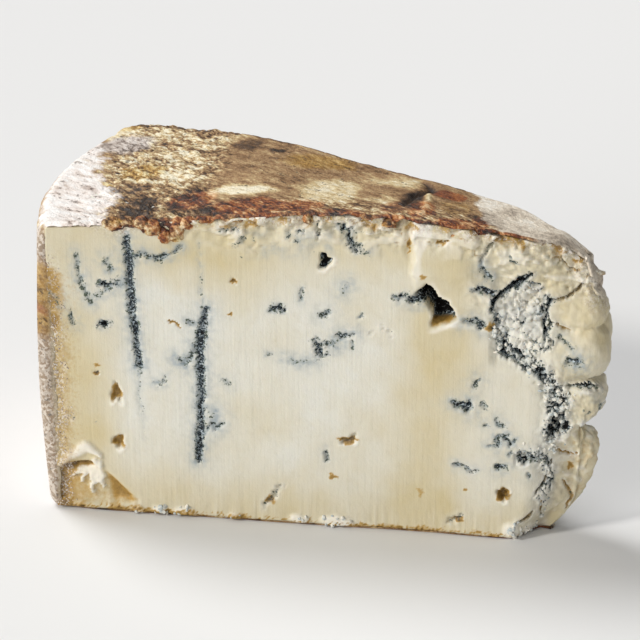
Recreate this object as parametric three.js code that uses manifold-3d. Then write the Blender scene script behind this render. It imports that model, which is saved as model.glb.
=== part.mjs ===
// A wedge cut from a low round blue cheese with a natural brushed rind.
//
// While it is built the wedge has its front cut on the plane y = 0, seen along +y, with the outer rind
// on the left and the broken tip on the right. It stands on z = 0. At the end it is moved so that the
// middle of its footprint is the origin. All sizes are millimetres.

import * as THREE from 'three';
import { mergeVertices } from 'three/addons/utils/BufferGeometryUtils.js';
import Module from 'manifold-3d';

const wasm = await Module();
wasm.setup();

// Driving dimensions of the wedge
const RIND_X = -80;           // outer rind at the left end of the front cut
const TIP_X = 80.5;             // broken tip, where it reaches furthest right
const FAR_CORNER_X = -74;     // far end of the outer rind
const FAR_CORNER_Y = 80;      // how far the wedge reaches behind the front cut
const RIM_HEIGHT = 88.5;      // top of the cut beside the outer rind
const RIM_CLIMB = 2.5;        // the rim is this much higher at its far corner
const CROWN_RISE = 8.5;       // the domed top swells this far above the rim
const BACK_FALL = 3.4;        // and falls this far towards the back cut near the tip
const SIDE_SAGITTA = 6.5;     // bulge of the outer rind in plan, an arc of the round cheese
const SIDE_SWELL = 1.7;       // bulge of the outer rind over its height
const NOSE_RADIUS = 8;        // the broken tip is rounded in plan
const TIP_SLACK = 6;          // the tip draws back this far at its top
const TIP_FOOT = 9;           // and this far at its foot

// Roundings where the wall turns into the top and the foot, by part of the wall
const TOP_ROUND = { front: 1.2, nose: 6, back: 1.6, side: 3.5, corner: 2.4 };
const FOOT_ROUND = { front: 1.0, nose: 4, back: 1.5, side: 4, corner: 3 };
const CORNER_RADIUS = 2.5;    // between the front cut and the outer rind, in plan

// Facet sizes
const FRONT_STEP = 3.2;
const NOSE_STEP = 2.4;
const BACK_STEP = 6;
const SIDE_STEP = 5;
const WALL_ROWS = 28;
const TOP_RINGS = 6;
const GROOVE_STEP = 3.6;
const GROOVE_CLEAR = 2.5;     // a cutter reaches this far out of the surface
const SLIVER = 0.02;

const SEED = 11;

const clamp = (v, low, high) => Math.min(high, Math.max(low, v));
const lerp = (a, b, t) => a + (b - a) * t;
const smooth = (edge0, edge1, v) => {
  const t = clamp((v - edge0) / (edge1 - edge0), 0, 1);
  return t * t * (3 - 2 * t);
};

// One repeatable number from 0 to 1 for a point of a lattice.
function hash(i, j, k) {
  let h = Math.imul(i, 374761393) + Math.imul(j, 668265263) + Math.imul(k, 1274126177) + SEED * 7919;
  h = Math.imul(h ^ (h >>> 13), 1103515245);
  h ^= h >>> 16;
  return (h >>> 0) / 4294967295;
}

// Smooth noise from -1 to 1 whose lumps are about `size` millimetres across.
function noise(x, y, z, size) {
  const p = [x / size, y / size, z / size];
  const cell = p.map(Math.floor);
  const t = p.map((v, a) => smooth(0, 1, v - cell[a]));
  let sum = 0;
  for (let corner = 0; corner < 8; corner++) {
    const d = [corner & 1, (corner >> 1) & 1, corner >> 2];
    const weight = d.reduce((w, bit, a) => w * (bit ? t[a] : 1 - t[a]), 1);
    sum += weight * hash(cell[0] + d[0], cell[1] + d[1], cell[2] + d[2]);
  }
  return 2 * sum - 1;
}

// A soft bump of height 1 at the centre of an ellipse on the front cut, 0 outside it.
function bump(x, z, centreX, centreZ, halfX, halfZ) {
  const d = Math.hypot((x - centreX) / halfX, (z - centreZ) / halfZ);
  return 1 - smooth(0, 1, d);
}

// Height of the domed top. It is highest right of the middle and falls to the rim and to the tip.
function topHeight(x, y) {
  const along = clamp((x - RIND_X) / (TIP_X - 3 - RIND_X), 0, 1);
  const rim = RIM_HEIGHT + RIM_CLIMB * clamp(y / FAR_CORNER_Y, 0, 1) * (1 - along);
  const fall = BACK_FALL * smooth(0.3, 0.6, along) * clamp(y / 36, 0, 1);
  return rim + CROWN_RISE * Math.sin(Math.PI * along ** 1.3) - fall;
}

// The broken tip is rounded in plan about this point.
const noseCentre = new THREE.Vector2(TIP_X - NOSE_RADIUS, NOSE_RADIUS + 0.5);

// The outline in plan, anticlockwise from the left end of the front cut, as points with their outward
// direction and the part of the wall that they belong to.
function planOutline() {
  const points = [];
  const farCorner = new THREE.Vector2(FAR_CORNER_X, FAR_CORNER_Y);
  const farRound = 8;
  const backTurn = Math.atan2(farCorner.y - noseCentre.y - 5, noseCentre.x - farCorner.x);
  const backNormal = new THREE.Vector2(Math.sin(backTurn), Math.cos(backTurn));

  const addLine = (from, to, step, part) => {
    const count = Math.round(from.distanceTo(to) / step);
    const normal = new THREE.Vector2(to.y - from.y, from.x - to.x).normalize();
    for (let i = 0; i < count; i++) {
      const p = from.clone().lerp(to, i / count);
      points.push({ x: p.x, y: p.y, nx: normal.x, ny: normal.y, part });
    }
  };
  const addArc = (centre, radius, from, to, step, part) => {
    const count = Math.max(2, Math.round(radius * Math.abs(to - from) / step));
    for (let i = 0; i < count; i++) {
      const a = lerp(from, to, i / count);
      points.push({
        x: centre.x + radius * Math.cos(a),
        y: centre.y + radius * Math.sin(a),
        nx: Math.cos(a),
        ny: Math.sin(a),
        part,
      });
    }
  };

  // the front cut ends where the broken tip starts to turn away
  const frontEnd = new THREE.Vector2(noseCentre.x, noseCentre.y - NOSE_RADIUS);
  const cornerCentre = new THREE.Vector2(RIND_X + CORNER_RADIUS, CORNER_RADIUS);
  addLine(new THREE.Vector2(cornerCentre.x, 0), frontEnd, FRONT_STEP, 'front');
  const backAngle = Math.PI / 2 - backTurn;
  addArc(noseCentre, NOSE_RADIUS, -Math.PI / 2, backAngle, NOSE_STEP, 'nose');
  const farCentre = new THREE.Vector2(FAR_CORNER_X + farRound - 1, FAR_CORNER_Y - farRound);
  const backStart = noseCentre.clone().addScaledVector(backNormal, NOSE_RADIUS);
  const backEnd = farCentre.clone().addScaledVector(backNormal, farRound);
  addLine(backStart, backEnd, BACK_STEP, 'back');
  addArc(farCentre, farRound, backAngle, Math.PI, SIDE_STEP, 'side');

  // the outer rind is an arc through both ends of the side
  const sideStart = new THREE.Vector2(farCentre.x - farRound, farCentre.y);
  const sideEnd = new THREE.Vector2(RIND_X, cornerCentre.y);
  const chord = sideStart.distanceTo(sideEnd);
  const count = Math.round(chord / SIDE_STEP);
  for (let i = 0; i < count; i++) {
    const t = i / count;
    const out = 4 * SIDE_SAGITTA * t * (1 - t);
    const slope = 4 * SIDE_SAGITTA * (1 - 2 * t) / chord;
    const p = sideStart.clone().lerp(sideEnd, t);
    const normal = new THREE.Vector2(-1, slope).normalize();
    points.push({ x: p.x - out, y: p.y, nx: normal.x, ny: normal.y, part: 'side' });
  }
  addArc(cornerCentre, CORNER_RADIUS, Math.PI, 1.5 * Math.PI, 1.4, 'corner');
  return points;
}

// How far the front cut stands out (+) or lies back (-) from a plane: knife waves, the torn upper edge,
// the flake that stands proud beside the cavity, and the chip out of the lower left corner.
function frontRelief(x, z, top) {
  const torn = smooth(top - 13, top - 3, z);
  const flake = smooth(24.5, 26.5, x) * smooth(74, 80, z) * (1 - smooth(44, 50, x));
  const chip = bump(x, z, -68, 6.5, 12, 9.5);
  const chipEdge = bump(x, z, -68, 18.5, 9, 4.5);
  return 0.45 * noise(x, 0, z, 24)
    + 0.2 * noise(x, 5, z, 7)
    + torn * (0.9 * noise(x, 9, z, 5) - 0.3)
    + 1.3 * flake
    - 2.6 * chip
    + 1.2 * chipEdge;
}

// How far the broken tip stands out or lies back: it is crumbled into lumps with clefts between them.
function tipRelief(x, y, z) {
  const height = z / RIM_HEIGHT;
  const draw = height > 0.62
    ? TIP_SLACK * ((height - 0.62) / 0.38) ** 2
    : TIP_FOOT * ((0.62 - height) / 0.62) ** 2.4;
  const cleft = 2.6 * Math.exp(-(((z - 50.5 - 0.1 * y) / 1.9) ** 2));
  const notch = 8.5 * Math.exp(-(((z - 31.8) / 2.6) ** 2)) * (1 - smooth(10, 20, y));
  const upperCleft = 1.4 * Math.exp(-(((z - 80) / 1.6) ** 2));
  return -draw - cleft - notch - upperCleft + 0.9 * noise(x, y, z, 6) + 1.2 * noise(x, y, z, 15);
}

// The whole relief of the wall at one place. The tip's relief fades in over the end of the front cut.
function wallRelief(point, z, top) {
  const toTip = smooth(58, 72, point.x);
  if (point.part === 'front' || point.part === 'nose') {
    const island = smooth(47, 51, point.x) * (1 - smooth(61, 64, point.x)) * bump(0, z, 0, 67, 1, 17);
    const face = frontRelief(point.x, z, top) - 1.6 * island;
    const slackAtTip = tipRelief(point.x, point.y, z);
    return lerp(face, slackAtTip, point.part === 'nose' ? 1 : 0.75 * toTip);
  }
  if (point.part === 'back') {
    const nearTip = smooth(50, 74, point.x);
    const cut = 0.6 * noise(point.x, point.y, z, 26) + 0.3 * noise(point.x, point.y, z, 8);
    return lerp(cut, tipRelief(point.x, point.y, z), nearTip);
  }
  const swell = SIDE_SWELL * Math.sin(Math.PI * clamp(z / top, 0, 1));
  return swell + 0.7 * noise(point.x, point.y, z, 12) + 0.4 * noise(point.x, point.y, z, 5);
}

// Where the surface of the front cut or the tip really is, seen from the front at x, z.
function frontSurfaceY(x, z) {
  const relief = wallRelief({ x, y: 0, part: 'front' }, z, topHeight(x, 0));
  const past = Math.min(0.9 * NOSE_RADIUS, Math.max(0, x - noseCentre.x));
  return 0.5 - relief + NOSE_RADIUS - Math.sqrt(NOSE_RADIUS ** 2 - past ** 2);
}

// Relief of the brushed top rind: low ridges that run with the length, and shallow dents.
function rindRelief(x, y) {
  return 0.7 * noise(x * 0.45, y, 0, 6) + 0.8 * noise(x, y, 3, 17);
}

// The wedge as one closed grid: a wall of columns and rows, a ringed top and a flat foot.
function wedgeBody() {
  const loop = planOutline();
  const columns = loop.length;
  const positions = [];
  const indices = [];
  const centre = { x: -18, y: 29 };

  for (let row = 0; row <= WALL_ROWS; row++) {
    // rows are closer together at the foot and under the top, where the wall turns
    const t = row / WALL_ROWS;
    const share = t - Math.sin(2 * Math.PI * t) / (2 * Math.PI) * 0.45;
    for (const point of loop) {
      const top = topHeight(point.x, point.y);
      const z = share * top;
      const footRound = FOOT_ROUND[point.part];
      const topRound = TOP_ROUND[point.part];
      const intoFoot = Math.max(0, footRound - z) / footRound;
      const intoTop = Math.max(0, z - top + topRound) / topRound;
      const inset = footRound * (1 - Math.sqrt(1 - intoFoot * intoFoot))
        + topRound * (1 - Math.sqrt(1 - 0.96 * intoTop * intoTop));
      const atRow = row === 0 ? 0.4 : 1;
      const out = atRow * wallRelief(point, z, top) - inset;
      positions.push(point.x + point.nx * out, point.y + point.ny * out, z);
    }
  }
  const quad = (a, b, c, d) => indices.push(a, b, c, a, c, d);
  for (let row = 0; row < WALL_ROWS; row++) {
    for (let c = 0; c < columns; c++) {
      const next = (c + 1) % columns;
      const low = row * columns;
      const high = low + columns;
      quad(low + c, low + next, high + next, high + c);
    }
  }

  // the top closes in rings towards the centre
  let ring = WALL_ROWS * columns;
  const edge = loop.map((_, c) => positions.slice((ring + c) * 3, (ring + c) * 3 + 3));
  for (let r = 1; r < TOP_RINGS; r++) {
    const start = positions.length / 3;
    for (const [x0, y0] of edge) {
      const t = (r - 0.55) / (TOP_RINGS - 0.55);
      const x = lerp(x0, centre.x, t);
      const y = lerp(y0, centre.y, t);
      positions.push(x, y, topHeight(x, y) + rindRelief(x, y));
    }
    for (let c = 0; c < columns; c++) {
      const next = (c + 1) % columns;
      quad(ring + c, ring + next, start + next, start + c);
    }
    ring = start;
  }
  const peak = positions.length / 3;
  positions.push(centre.x, centre.y, topHeight(centre.x, centre.y));
  for (let c = 0; c < columns; c++) {
    indices.push(ring + c, ring + (c + 1) % columns, peak);
  }

  // the foot is flat
  const foot = positions.length / 3;
  positions.push(centre.x, centre.y, 0);
  for (let c = 0; c < columns; c++) {
    indices.push((c + 1) % columns, c, foot);
  }
  return closedGeometry(positions, indices);
}

function closedGeometry(positions, indices) {
  const geometry = new THREE.BufferGeometry();
  geometry.setAttribute('position', new THREE.Float32BufferAttribute(positions, 3));
  geometry.setIndex(indices);
  return geometry;
}

// An uneven lump or hollow on the front cut at [x, z]: a ball drawn out to three half sizes and
// roughened. Its middle is `sunk` behind the surface there.
function lump({ at, sunk, half, rough = 0.2 }, detail) {
  const centre = [at[0], frontSurfaceY(at[0], at[1]) + sunk, at[1]];
  const geometry = new THREE.IcosahedronGeometry(1, detail);
  const position = geometry.attributes.position;
  const v = new THREE.Vector3();
  for (let i = 0; i < position.count; i++) {
    v.fromBufferAttribute(position, i);
    v.multiplyScalar(1 + rough * noise(v.x * 3 + centre[0], v.y * 3, v.z * 3 + centre[2], 2));
    position.setXYZ(i, centre[0] + v.x * half[0], centre[1] + v.y * half[1], centre[2] + v.z * half[2]);
  }
  return geometry;
}

// A groove along a path of [x, z] on the front cut, as the solid that cuts it. Its section is a round
// bottomed trough, or with 1 side a V; it stands clear of the surface, and narrows at both ends.
function groove(path, width, depth, bottomSides) {
  const onSurface = path.map(([x, z]) => new THREE.Vector3(x, frontSurfaceY(x, z), z));
  const curve = new THREE.CatmullRomCurve3(onSurface);
  const steps = Math.max(3, Math.round(curve.getLength() / GROOVE_STEP));
  const sides = bottomSides + 4;
  const positions = [];
  const indices = [];
  for (let i = 0; i <= steps; i++) {
    const t = i / steps;
    const p = curve.getPointAt(t);
    const along = curve.getTangentAt(t);
    const taper = 0.45 + 0.55 * Math.sqrt(Math.sin(Math.PI * lerp(0.03, 0.97, t)));
    const half = 0.5 * width * taper * (1 + 0.25 * noise(p.x, 3, p.z, 3));
    const section = [[half, -GROOVE_CLEAR], [half, 0]];
    for (let s = 1; s <= bottomSides; s++) {
      const a = Math.PI * s / (bottomSides + 1);
      section.push([half * Math.cos(a), depth * taper * Math.sin(a)]);
    }
    section.push([-half, 0], [-half, -GROOVE_CLEAR]);
    for (const [across, into] of section) {
      positions.push(p.x - along.z * across, p.y + into, p.z + along.x * across);
    }
  }
  for (let i = 0; i < steps; i++) {
    for (let s = 0; s < sides; s++) {
      const a = i * sides + s;
      const b = i * sides + (s + 1) % sides;
      indices.push(a, b + sides, b, a, a + sides, b + sides);
    }
  }
  for (let s = 1; s < sides - 1; s++) {
    const end = steps * sides;
    indices.push(0, s, s + 1, end, end + s + 1, end + s);
  }
  return closedGeometry(positions, indices);
}

function toSolid(geometry) {
  const bare = geometry.clone();
  bare.deleteAttribute('normal');
  bare.deleteAttribute('uv');
  const merged = mergeVertices(bare, 1e-4);
  return new wasm.Manifold(new wasm.Mesh({
    numProp: 3,
    vertProperties: new Float32Array(merged.attributes.position.array),
    triVerts: new Uint32Array(merged.index.array),
  }));
}

function toGeometry(solid) {
  const mesh = solid.getMesh();
  const geometry = new THREE.BufferGeometry();
  geometry.setAttribute('position', new THREE.BufferAttribute(mesh.vertProperties, 3));
  geometry.setIndex(new THREE.BufferAttribute(mesh.triVerts, 1));
  return geometry;
}

// The two channels that the piercing needles left, full of blue mould.
const NEEDLE_CHANNELS = [
  [[-54.3, 86], [-54, 75], [-53.2, 62], [-52, 47]],
  [[-32.6, 66], [-33.8, 55], [-34.3, 38], [-35.1, 18]],
];
const CHANNEL_WIDTH = 2.6;
const CHANNEL_DEPTH = 1.1;

// Hollows in the front cut
const HOLLOWS = [
  { at: [30.6, 73.4], sunk: 3, half: [3.2, 9, 4.4], rough: 0.3 },
  { at: [33.8, 69.2], sunk: 2, half: [3.6, 6.5, 3.6], rough: 0.3 },
  { at: [1.3, 82.8], sunk: 0.6, half: [1.5, 3.6, 2.4] },
  { at: [-58.8, 38], sunk: 0.2, half: [1.7, 2.2, 3.2] },
  { at: [-58.7, 22.6], sunk: 0.2, half: [2.1, 2.2, 2.4] },
  { at: [7.8, 28], sunk: 0, half: [2.6, 1.8, 1.5] },
  { at: [52.2, 14.2], sunk: 0.2, half: [1.9, 2.4, 2.4] },
  { at: [40.8, 41.3], sunk: 0, half: [2.2, 1.5, 1.4] },
  { at: [67, 38], sunk: 1, half: [2.2, 4.5, 4.6], rough: 0.3 },
];

// Cracks in the front cut: path, width and depth
const CRACKS = [
  { path: [[57.5, 82], [52, 78], [48.5, 74.5], [47.5, 70], [49.5, 66]], width: 1.5, depth: 3.4 },
  { path: [[21.5, 73.2], [25, 72.6], [28.5, 73.6]], width: 1.1, depth: 2.2 },
  { path: [[74, 82.5], [70, 77.5], [64, 75.2], [62.8, 70], [63.6, 64], [62.2, 60]], width: 1.5, depth: 3 },
  { path: [[50, 65], [52, 60.5], [57, 55], [63, 52], [66, 46.5], [65.6, 40]], width: 2.2, depth: 2.8 },
  { path: [[-62, 71.6], [-60, 71.4], [-57.5, 72.3]], width: 1.0, depth: 1.6 },
  { path: [[5, 92.6], [8.4, 92.2], [8.8, 88], [10.2, 86]], width: 1.0, depth: 2 },
  { path: [[66.5, 21], [64, 16], [60, 11.5]], width: 0.9, depth: 1.8 },
  { path: [[-74.5, 14], [-71, 15.3], [-67, 15.6]], width: 1.6, depth: 2.6 },
];

// Lumps that stand out: crust that hangs over the upper edge, and crumbs of rind along the foot
const CRUST_DRIPS = [
  { at: [-57.5, 89.5], sunk: 1.2, half: [2.8, 2.4, 2.4] },
  { at: [-51, 90], sunk: 1.4, half: [3.6, 2.6, 2.6] },
  { at: [-43.6, 90], sunk: 1.2, half: [2.6, 2.4, 3] },
  { at: [-40.2, 88], sunk: 1.0, half: [2.3, 2.2, 3.2] },
];
const FOOT_CRUMBS = [
  { at: [-53, 1], sunk: 0.6, half: [2.6, 1.5, 1.2] },
  { at: [-47.5, 1.4], sunk: 0.6, half: [2.6, 1.5, 1.5] },
  { at: [-39.5, 1.4], sunk: 0.6, half: [3.6, 1.5, 1.4] },
  { at: [-25, 1.2], sunk: 0.6, half: [2.5, 1.5, 1.3] },
  { at: [-6, 1.8], sunk: 0.6, half: [3.4, 1.5, 1.3] },
  { at: [5, 1.8], sunk: 0.6, half: [4.6, 1.6, 1.7] },
  { at: [56, 3.4], sunk: 0.9, half: [3.2, 1.7, 2] },
  { at: [62, 4.2], sunk: 1.2, half: [3.2, 2, 2.4] },
];

// The lumps of the broken tip
const TIP_LUMPS = [
  { at: [70.5, 69], sunk: 6, half: [7, 7.2, 8], rough: 0.14 },
  { at: [71, 57.5], sunk: 6, half: [7.6, 7, 6], rough: 0.14 },
  { at: [72.5, 45], sunk: 5.5, half: [5.2, 6.4, 4.6], rough: 0.2 },
  { at: [71, 28.5], sunk: 5.5, half: [5.8, 6.6, 4.2], rough: 0.16 },
];

// What reaches below the foot is cut off, so that the wedge stands flat.
function belowFoot() {
  const slab = new THREE.BoxGeometry(3 * TIP_X, 3 * TIP_X, 20);
  slab.translate(0, 0, -10);
  return slab;
}

function cheeseWedge() {
  let solid = toSolid(wedgeBody());
  for (const part of TIP_LUMPS) {
    solid = solid.add(toSolid(lump(part, 2)));
  }
  for (const part of [...CRUST_DRIPS, ...FOOT_CRUMBS]) {
    solid = solid.add(toSolid(lump(part, 1)));
  }
  for (const path of NEEDLE_CHANNELS) {
    solid = solid.subtract(toSolid(groove(path, CHANNEL_WIDTH, CHANNEL_DEPTH, 2)));
  }
  for (const { path, width, depth } of CRACKS) {
    solid = solid.subtract(toSolid(groove(path, width, depth, 1)));
  }
  for (const part of HOLLOWS) {
    solid = solid.subtract(toSolid(lump(part, 2)));
  }
  solid = solid.subtract(toSolid(belowFoot()));

  // a crumb that the cuts set free is dropped, and slivers between the cuts are closed up
  const bodies = solid.decompose();
  const largest = bodies.reduce((a, b) => (b.volume() > a.volume() ? b : a));
  return toGeometry(largest.simplify(SLIVER));
}

// The middle of the footprint becomes the origin.
const geometry = cheeseWedge();
geometry.computeBoundingBox();
const box = geometry.boundingBox;
geometry.computeVertexNormals();

const cheesePaste = new THREE.MeshStandardMaterial({ color: 0xddd2b2, roughness: 0.62, metalness: 0 });
const wedge = new THREE.Mesh(geometry, cheesePaste);
wedge.name = 'cheese_wedge';
wedge.position.set(-(box.min.x + box.max.x) / 2, -(box.min.y + box.max.y) / 2, -box.min.z);

const group = new THREE.Group();
group.add(wedge);

export default group;
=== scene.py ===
# %% [markdown]
# # A wedge of natural-rind blue cheese
#
# The wedge was cut from a low round. Its paste is cream coloured and a little translucent, with eyes,
# veins of blue mould and two dark channels that piercing needles left. A thin brushed rind covers the
# top, the outer side and the foot. The tip has crumbled.
#
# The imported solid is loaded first. It fixes the size and the place, and nothing here moves it.

# %% Load the fixed frame
import math
from functools import partial

import bmesh
import bpy
import numpy as np
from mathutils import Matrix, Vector


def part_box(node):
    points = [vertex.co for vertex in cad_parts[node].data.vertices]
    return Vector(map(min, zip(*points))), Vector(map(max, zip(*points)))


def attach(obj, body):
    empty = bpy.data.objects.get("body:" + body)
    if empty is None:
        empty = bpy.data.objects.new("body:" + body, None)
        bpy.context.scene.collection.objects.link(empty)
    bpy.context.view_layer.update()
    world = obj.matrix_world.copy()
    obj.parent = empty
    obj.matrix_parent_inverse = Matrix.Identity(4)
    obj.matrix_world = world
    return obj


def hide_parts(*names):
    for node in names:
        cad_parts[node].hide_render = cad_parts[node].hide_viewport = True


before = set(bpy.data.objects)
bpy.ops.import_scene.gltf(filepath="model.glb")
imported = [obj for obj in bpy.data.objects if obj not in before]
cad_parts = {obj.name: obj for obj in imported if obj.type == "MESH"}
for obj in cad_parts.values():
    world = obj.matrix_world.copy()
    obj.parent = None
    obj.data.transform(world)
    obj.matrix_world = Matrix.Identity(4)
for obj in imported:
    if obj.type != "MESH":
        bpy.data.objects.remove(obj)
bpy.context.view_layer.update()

NODE = "cheese_wedge"
MM = 0.001
box_low, box_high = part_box(NODE)
print("the solid measures", [round(1000 * (b - a), 1) for a, b in zip(box_low, box_high)], "mm")

# %% [markdown]
# ## The wedge's own coordinates
#
# All shapes are worked out in millimetres from the front cut: x runs along it from the outer rind on the
# left to the tip on the right, y runs into the wedge, and z is the height above the foot. One shift
# brings them into the frame. The driving sizes are those of the solid.

# %% Driving sizes and the shift into the frame
RIND_X = -80.0  # outer rind at the left end of the front cut
TIP_X = 80.5  # where the broken tip reaches furthest
FAR_CORNER_X, FAR_CORNER_Y = -74.0, 80.0
RIM_HEIGHT, RIM_CLIMB = 88.5, 2.5
TIP_DROOP = 4.5  # the top falls by this much more at the broken tip
CROWN_RISE, BACK_FALL = 8.5, 3.4
SIDE_SAGITTA, SIDE_SWELL = 6.5, 1.7
NOSE_RADIUS = 8.0
TIP_SLACK, TIP_FOOT = 6.0, 9.0
TIP_FOOT_BACK = 7.5  # the foot of the tip broke away this much further along the cut
FAR_ROUND, CORNER_RADIUS = 8.0, 2.5

SOLID_REACH = 81.0  # the solid's furthest point right, in the wedge's own millimetres
SOLID_PROUD = 1.26  # and how far its crumbs stand out of the front cut
shift = np.array([box_high.x - SOLID_REACH * MM, box_low.y + SOLID_PROUD * MM, 0.0])
box_low_mm = (np.array(box_low) - shift) / MM
box_high_mm = (np.array(box_high) - shift) / MM
print("shift into the frame, mm:", np.round(shift / MM, 2))

# %% Small tools for numbers


def smooth(low, high, v):
    """0 below low, 1 above high, and a smooth step between."""
    t = np.clip((v - low) / (high - low), 0, 1)
    return t * t * (3 - 2 * t)


def mix(a, b, t):
    return a + (b - a) * t


def bell(d, width):
    """1 where d is 0, falling off smoothly on both sides."""
    return np.exp(-((d / width) ** 2))


def lattice(i, j, k, seed):
    """One repeatable number from -1 to 1 for each point of a lattice."""
    h = (i * 374761393 + j * 668265263 + k * 1274126177 + seed * 7919) & 0xFFFFFFFF
    h = ((h ^ (h >> 13)) * 1103515245) & 0xFFFFFFFF
    h = ((h ^ (h >> 15)) * 739982445) & 0xFFFFFFFF
    return ((h ^ (h >> 16)) & 0xFFFFFF) / float(0x7FFFFF) - 1


def noise(x, y, z, size, seed=1, octaves=1):
    """Smooth noise from about -1 to 1 with lumps `size` millimetres across."""
    total, weight, share = 0.0, 0.0, 1.0
    for octave in range(octaves):
        p = [np.asarray(v, float) / size * 2**octave for v in (x, y, z)]
        p = np.broadcast_arrays(*p)
        cell = [np.floor(v).astype(np.int64) for v in p]
        t = [v - c for v, c in zip(p, cell)]
        t = [v * v * v * (v * (6 * v - 15) + 10) for v in t]
        value = 0.0
        for corner in range(8):
            d = [corner & 1, (corner >> 1) & 1, corner >> 2]
            w = 1.0
            for bit, v in zip(d, t):
                w = w * (v if bit else 1 - v)
            value = value + w * lattice(cell[0] + d[0], cell[1] + d[1], cell[2] + d[2], seed + octave)
        total = total + share * value
        weight += share
        share *= 0.55
    return total / weight


def creases(x, y, z, size, seed=1, octaves=2):
    """Noise that is 1 on thin winding lines and falls to 0 between them."""
    return 1 - np.minimum(1, 2.5 * np.abs(noise(x, y, z, size, seed, octaves)))


def pebbles(x, z, size, seed=1):
    """Distances to the nearest and second nearest of scattered points, in units of `size`."""
    px, pz = np.broadcast_arrays(np.asarray(x, float) / size, np.asarray(z, float) / size)
    cx, cz = np.floor(px).astype(np.int64), np.floor(pz).astype(np.int64)
    first = np.full(px.shape, 9.0)
    second = np.full(px.shape, 9.0)
    for dx in (-1, 0, 1):
        for dz in (-1, 0, 1):
            i, j = cx + dx, cz + dz
            ax = i + 0.5 + 0.45 * lattice(i, j, 1, seed)
            az = j + 0.5 + 0.45 * lattice(i, j, 2, seed)
            d = np.hypot(px - ax, pz - az)
            second = np.minimum(second, np.maximum(first, d))
            first = np.minimum(first, d)
    return first, second


def crumble(x, z, size, seed=1):
    """Relief of crumbs: a rounded top for each, and 1 where two crumbs part."""
    wx = x + 0.3 * size * noise(x, 3, z, 0.8 * size, seed, 2)
    wz = z + 0.3 * size * noise(x, 9, z, 0.8 * size, seed + 3, 2)
    first, second = pebbles(wx, wz, size, seed)
    return np.sqrt(np.maximum(0, 1 - 1.1 * first**2)), smooth(0.22, 0.02, second - first)


# %% [markdown]
# ## Plan and top of the wedge
#
# In plan the outer side is an arc of the round, both cuts are straight, and the tip is broken off round.
# The top arches from the outer side to the tip and droops where it broke. It climbs a little towards the
# far corner, and right of the middle it falls towards the back.

# %% Outline in plan and height of the top
nose_centre = np.array([TIP_X - NOSE_RADIUS, NOSE_RADIUS + 0.5])
back_turn = math.atan2(FAR_CORNER_Y - nose_centre[1] - 5, nose_centre[0] - FAR_CORNER_X)
back_normal = np.array([math.sin(back_turn), math.cos(back_turn)])
far_centre = np.array([FAR_CORNER_X + FAR_ROUND - 1, FAR_CORNER_Y - FAR_ROUND])
corner_centre = np.array([RIND_X + CORNER_RADIUS, CORNER_RADIUS])


def arc(centre, radius, start, end, count):
    a = np.linspace(start, end, count)
    return np.stack([centre[0] + radius * np.cos(a), centre[1] + radius * np.sin(a)], 1)


def even_steps(points, shares):
    """Points of a polyline at the given shares of its length."""
    length = np.concatenate([[0], np.cumsum(np.linalg.norm(np.diff(points, axis=0), axis=1))])
    where = np.asarray(shares) * length[-1]
    return np.stack([np.interp(where, length, points[:, i]) for i in (0, 1)], -1)


def side_line(shares):
    """The outer side in plan, from the front cut round the corner to the back cut."""
    corner = arc(corner_centre, CORNER_RADIUS, 1.5 * math.pi, math.pi, 9)
    start = np.array([RIND_X, corner_centre[1]])
    end = np.array([far_centre[0] - FAR_ROUND, far_centre[1]])
    t = np.linspace(0, 1, 60)[1:-1, None]
    bow = mix(start, end, t) - np.array([4 * SIDE_SAGITTA, 0]) * t * (1 - t)
    far = arc(far_centre, FAR_ROUND, math.pi, math.pi / 2 - back_turn, 12)
    return even_steps(np.concatenate([corner, bow, far]), shares)


def top_height(x, y):
    """Height of the top over a place in plan."""
    along = np.clip((x - RIND_X) / (TIP_X - 3 - RIND_X), 0, 1)
    rim = RIM_HEIGHT + RIM_CLIMB * np.clip(y / FAR_CORNER_Y, 0, 1) * (1 - along)
    fall = BACK_FALL * smooth(0.3, 0.6, along) * np.clip(y / 36, 0, 1)
    return rim + CROWN_RISE * np.sin(math.pi * along**1.3) - fall - TIP_DROOP * smooth(64, 77, x)


print("top over the front cut, mm:", np.round(top_height(np.array([RIND_X, 0, TIP_X]), 0), 1))

# %% [markdown]
# ## What the knife laid open on the front cut
#
# The veins, eyes and cracks are places in the real cheese, so they are short lists of places, in
# millimetres along and up the cut. Everything between them, the grain of the paste, the ragged edges and
# the specks of mould, comes from noise.

# %% Places on the front cut
NEEDLE_CHANNELS = [
    [(-54.3, 86), (-54, 75), (-53.4, 64), (-52.6, 54), (-52, 47)],
    [(-32.2, 66), (-33.6, 59), (-34, 50), (-34.3, 38), (-34.6, 28), (-35.1, 18.5)],
]
FAINT_CHANNELS = [
    [(-52, 47), (-52, 40.5), (-50.8, 25)],
    [(-33.8, 88), (-33.6, 78), (-33.2, 66)],
]
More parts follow.
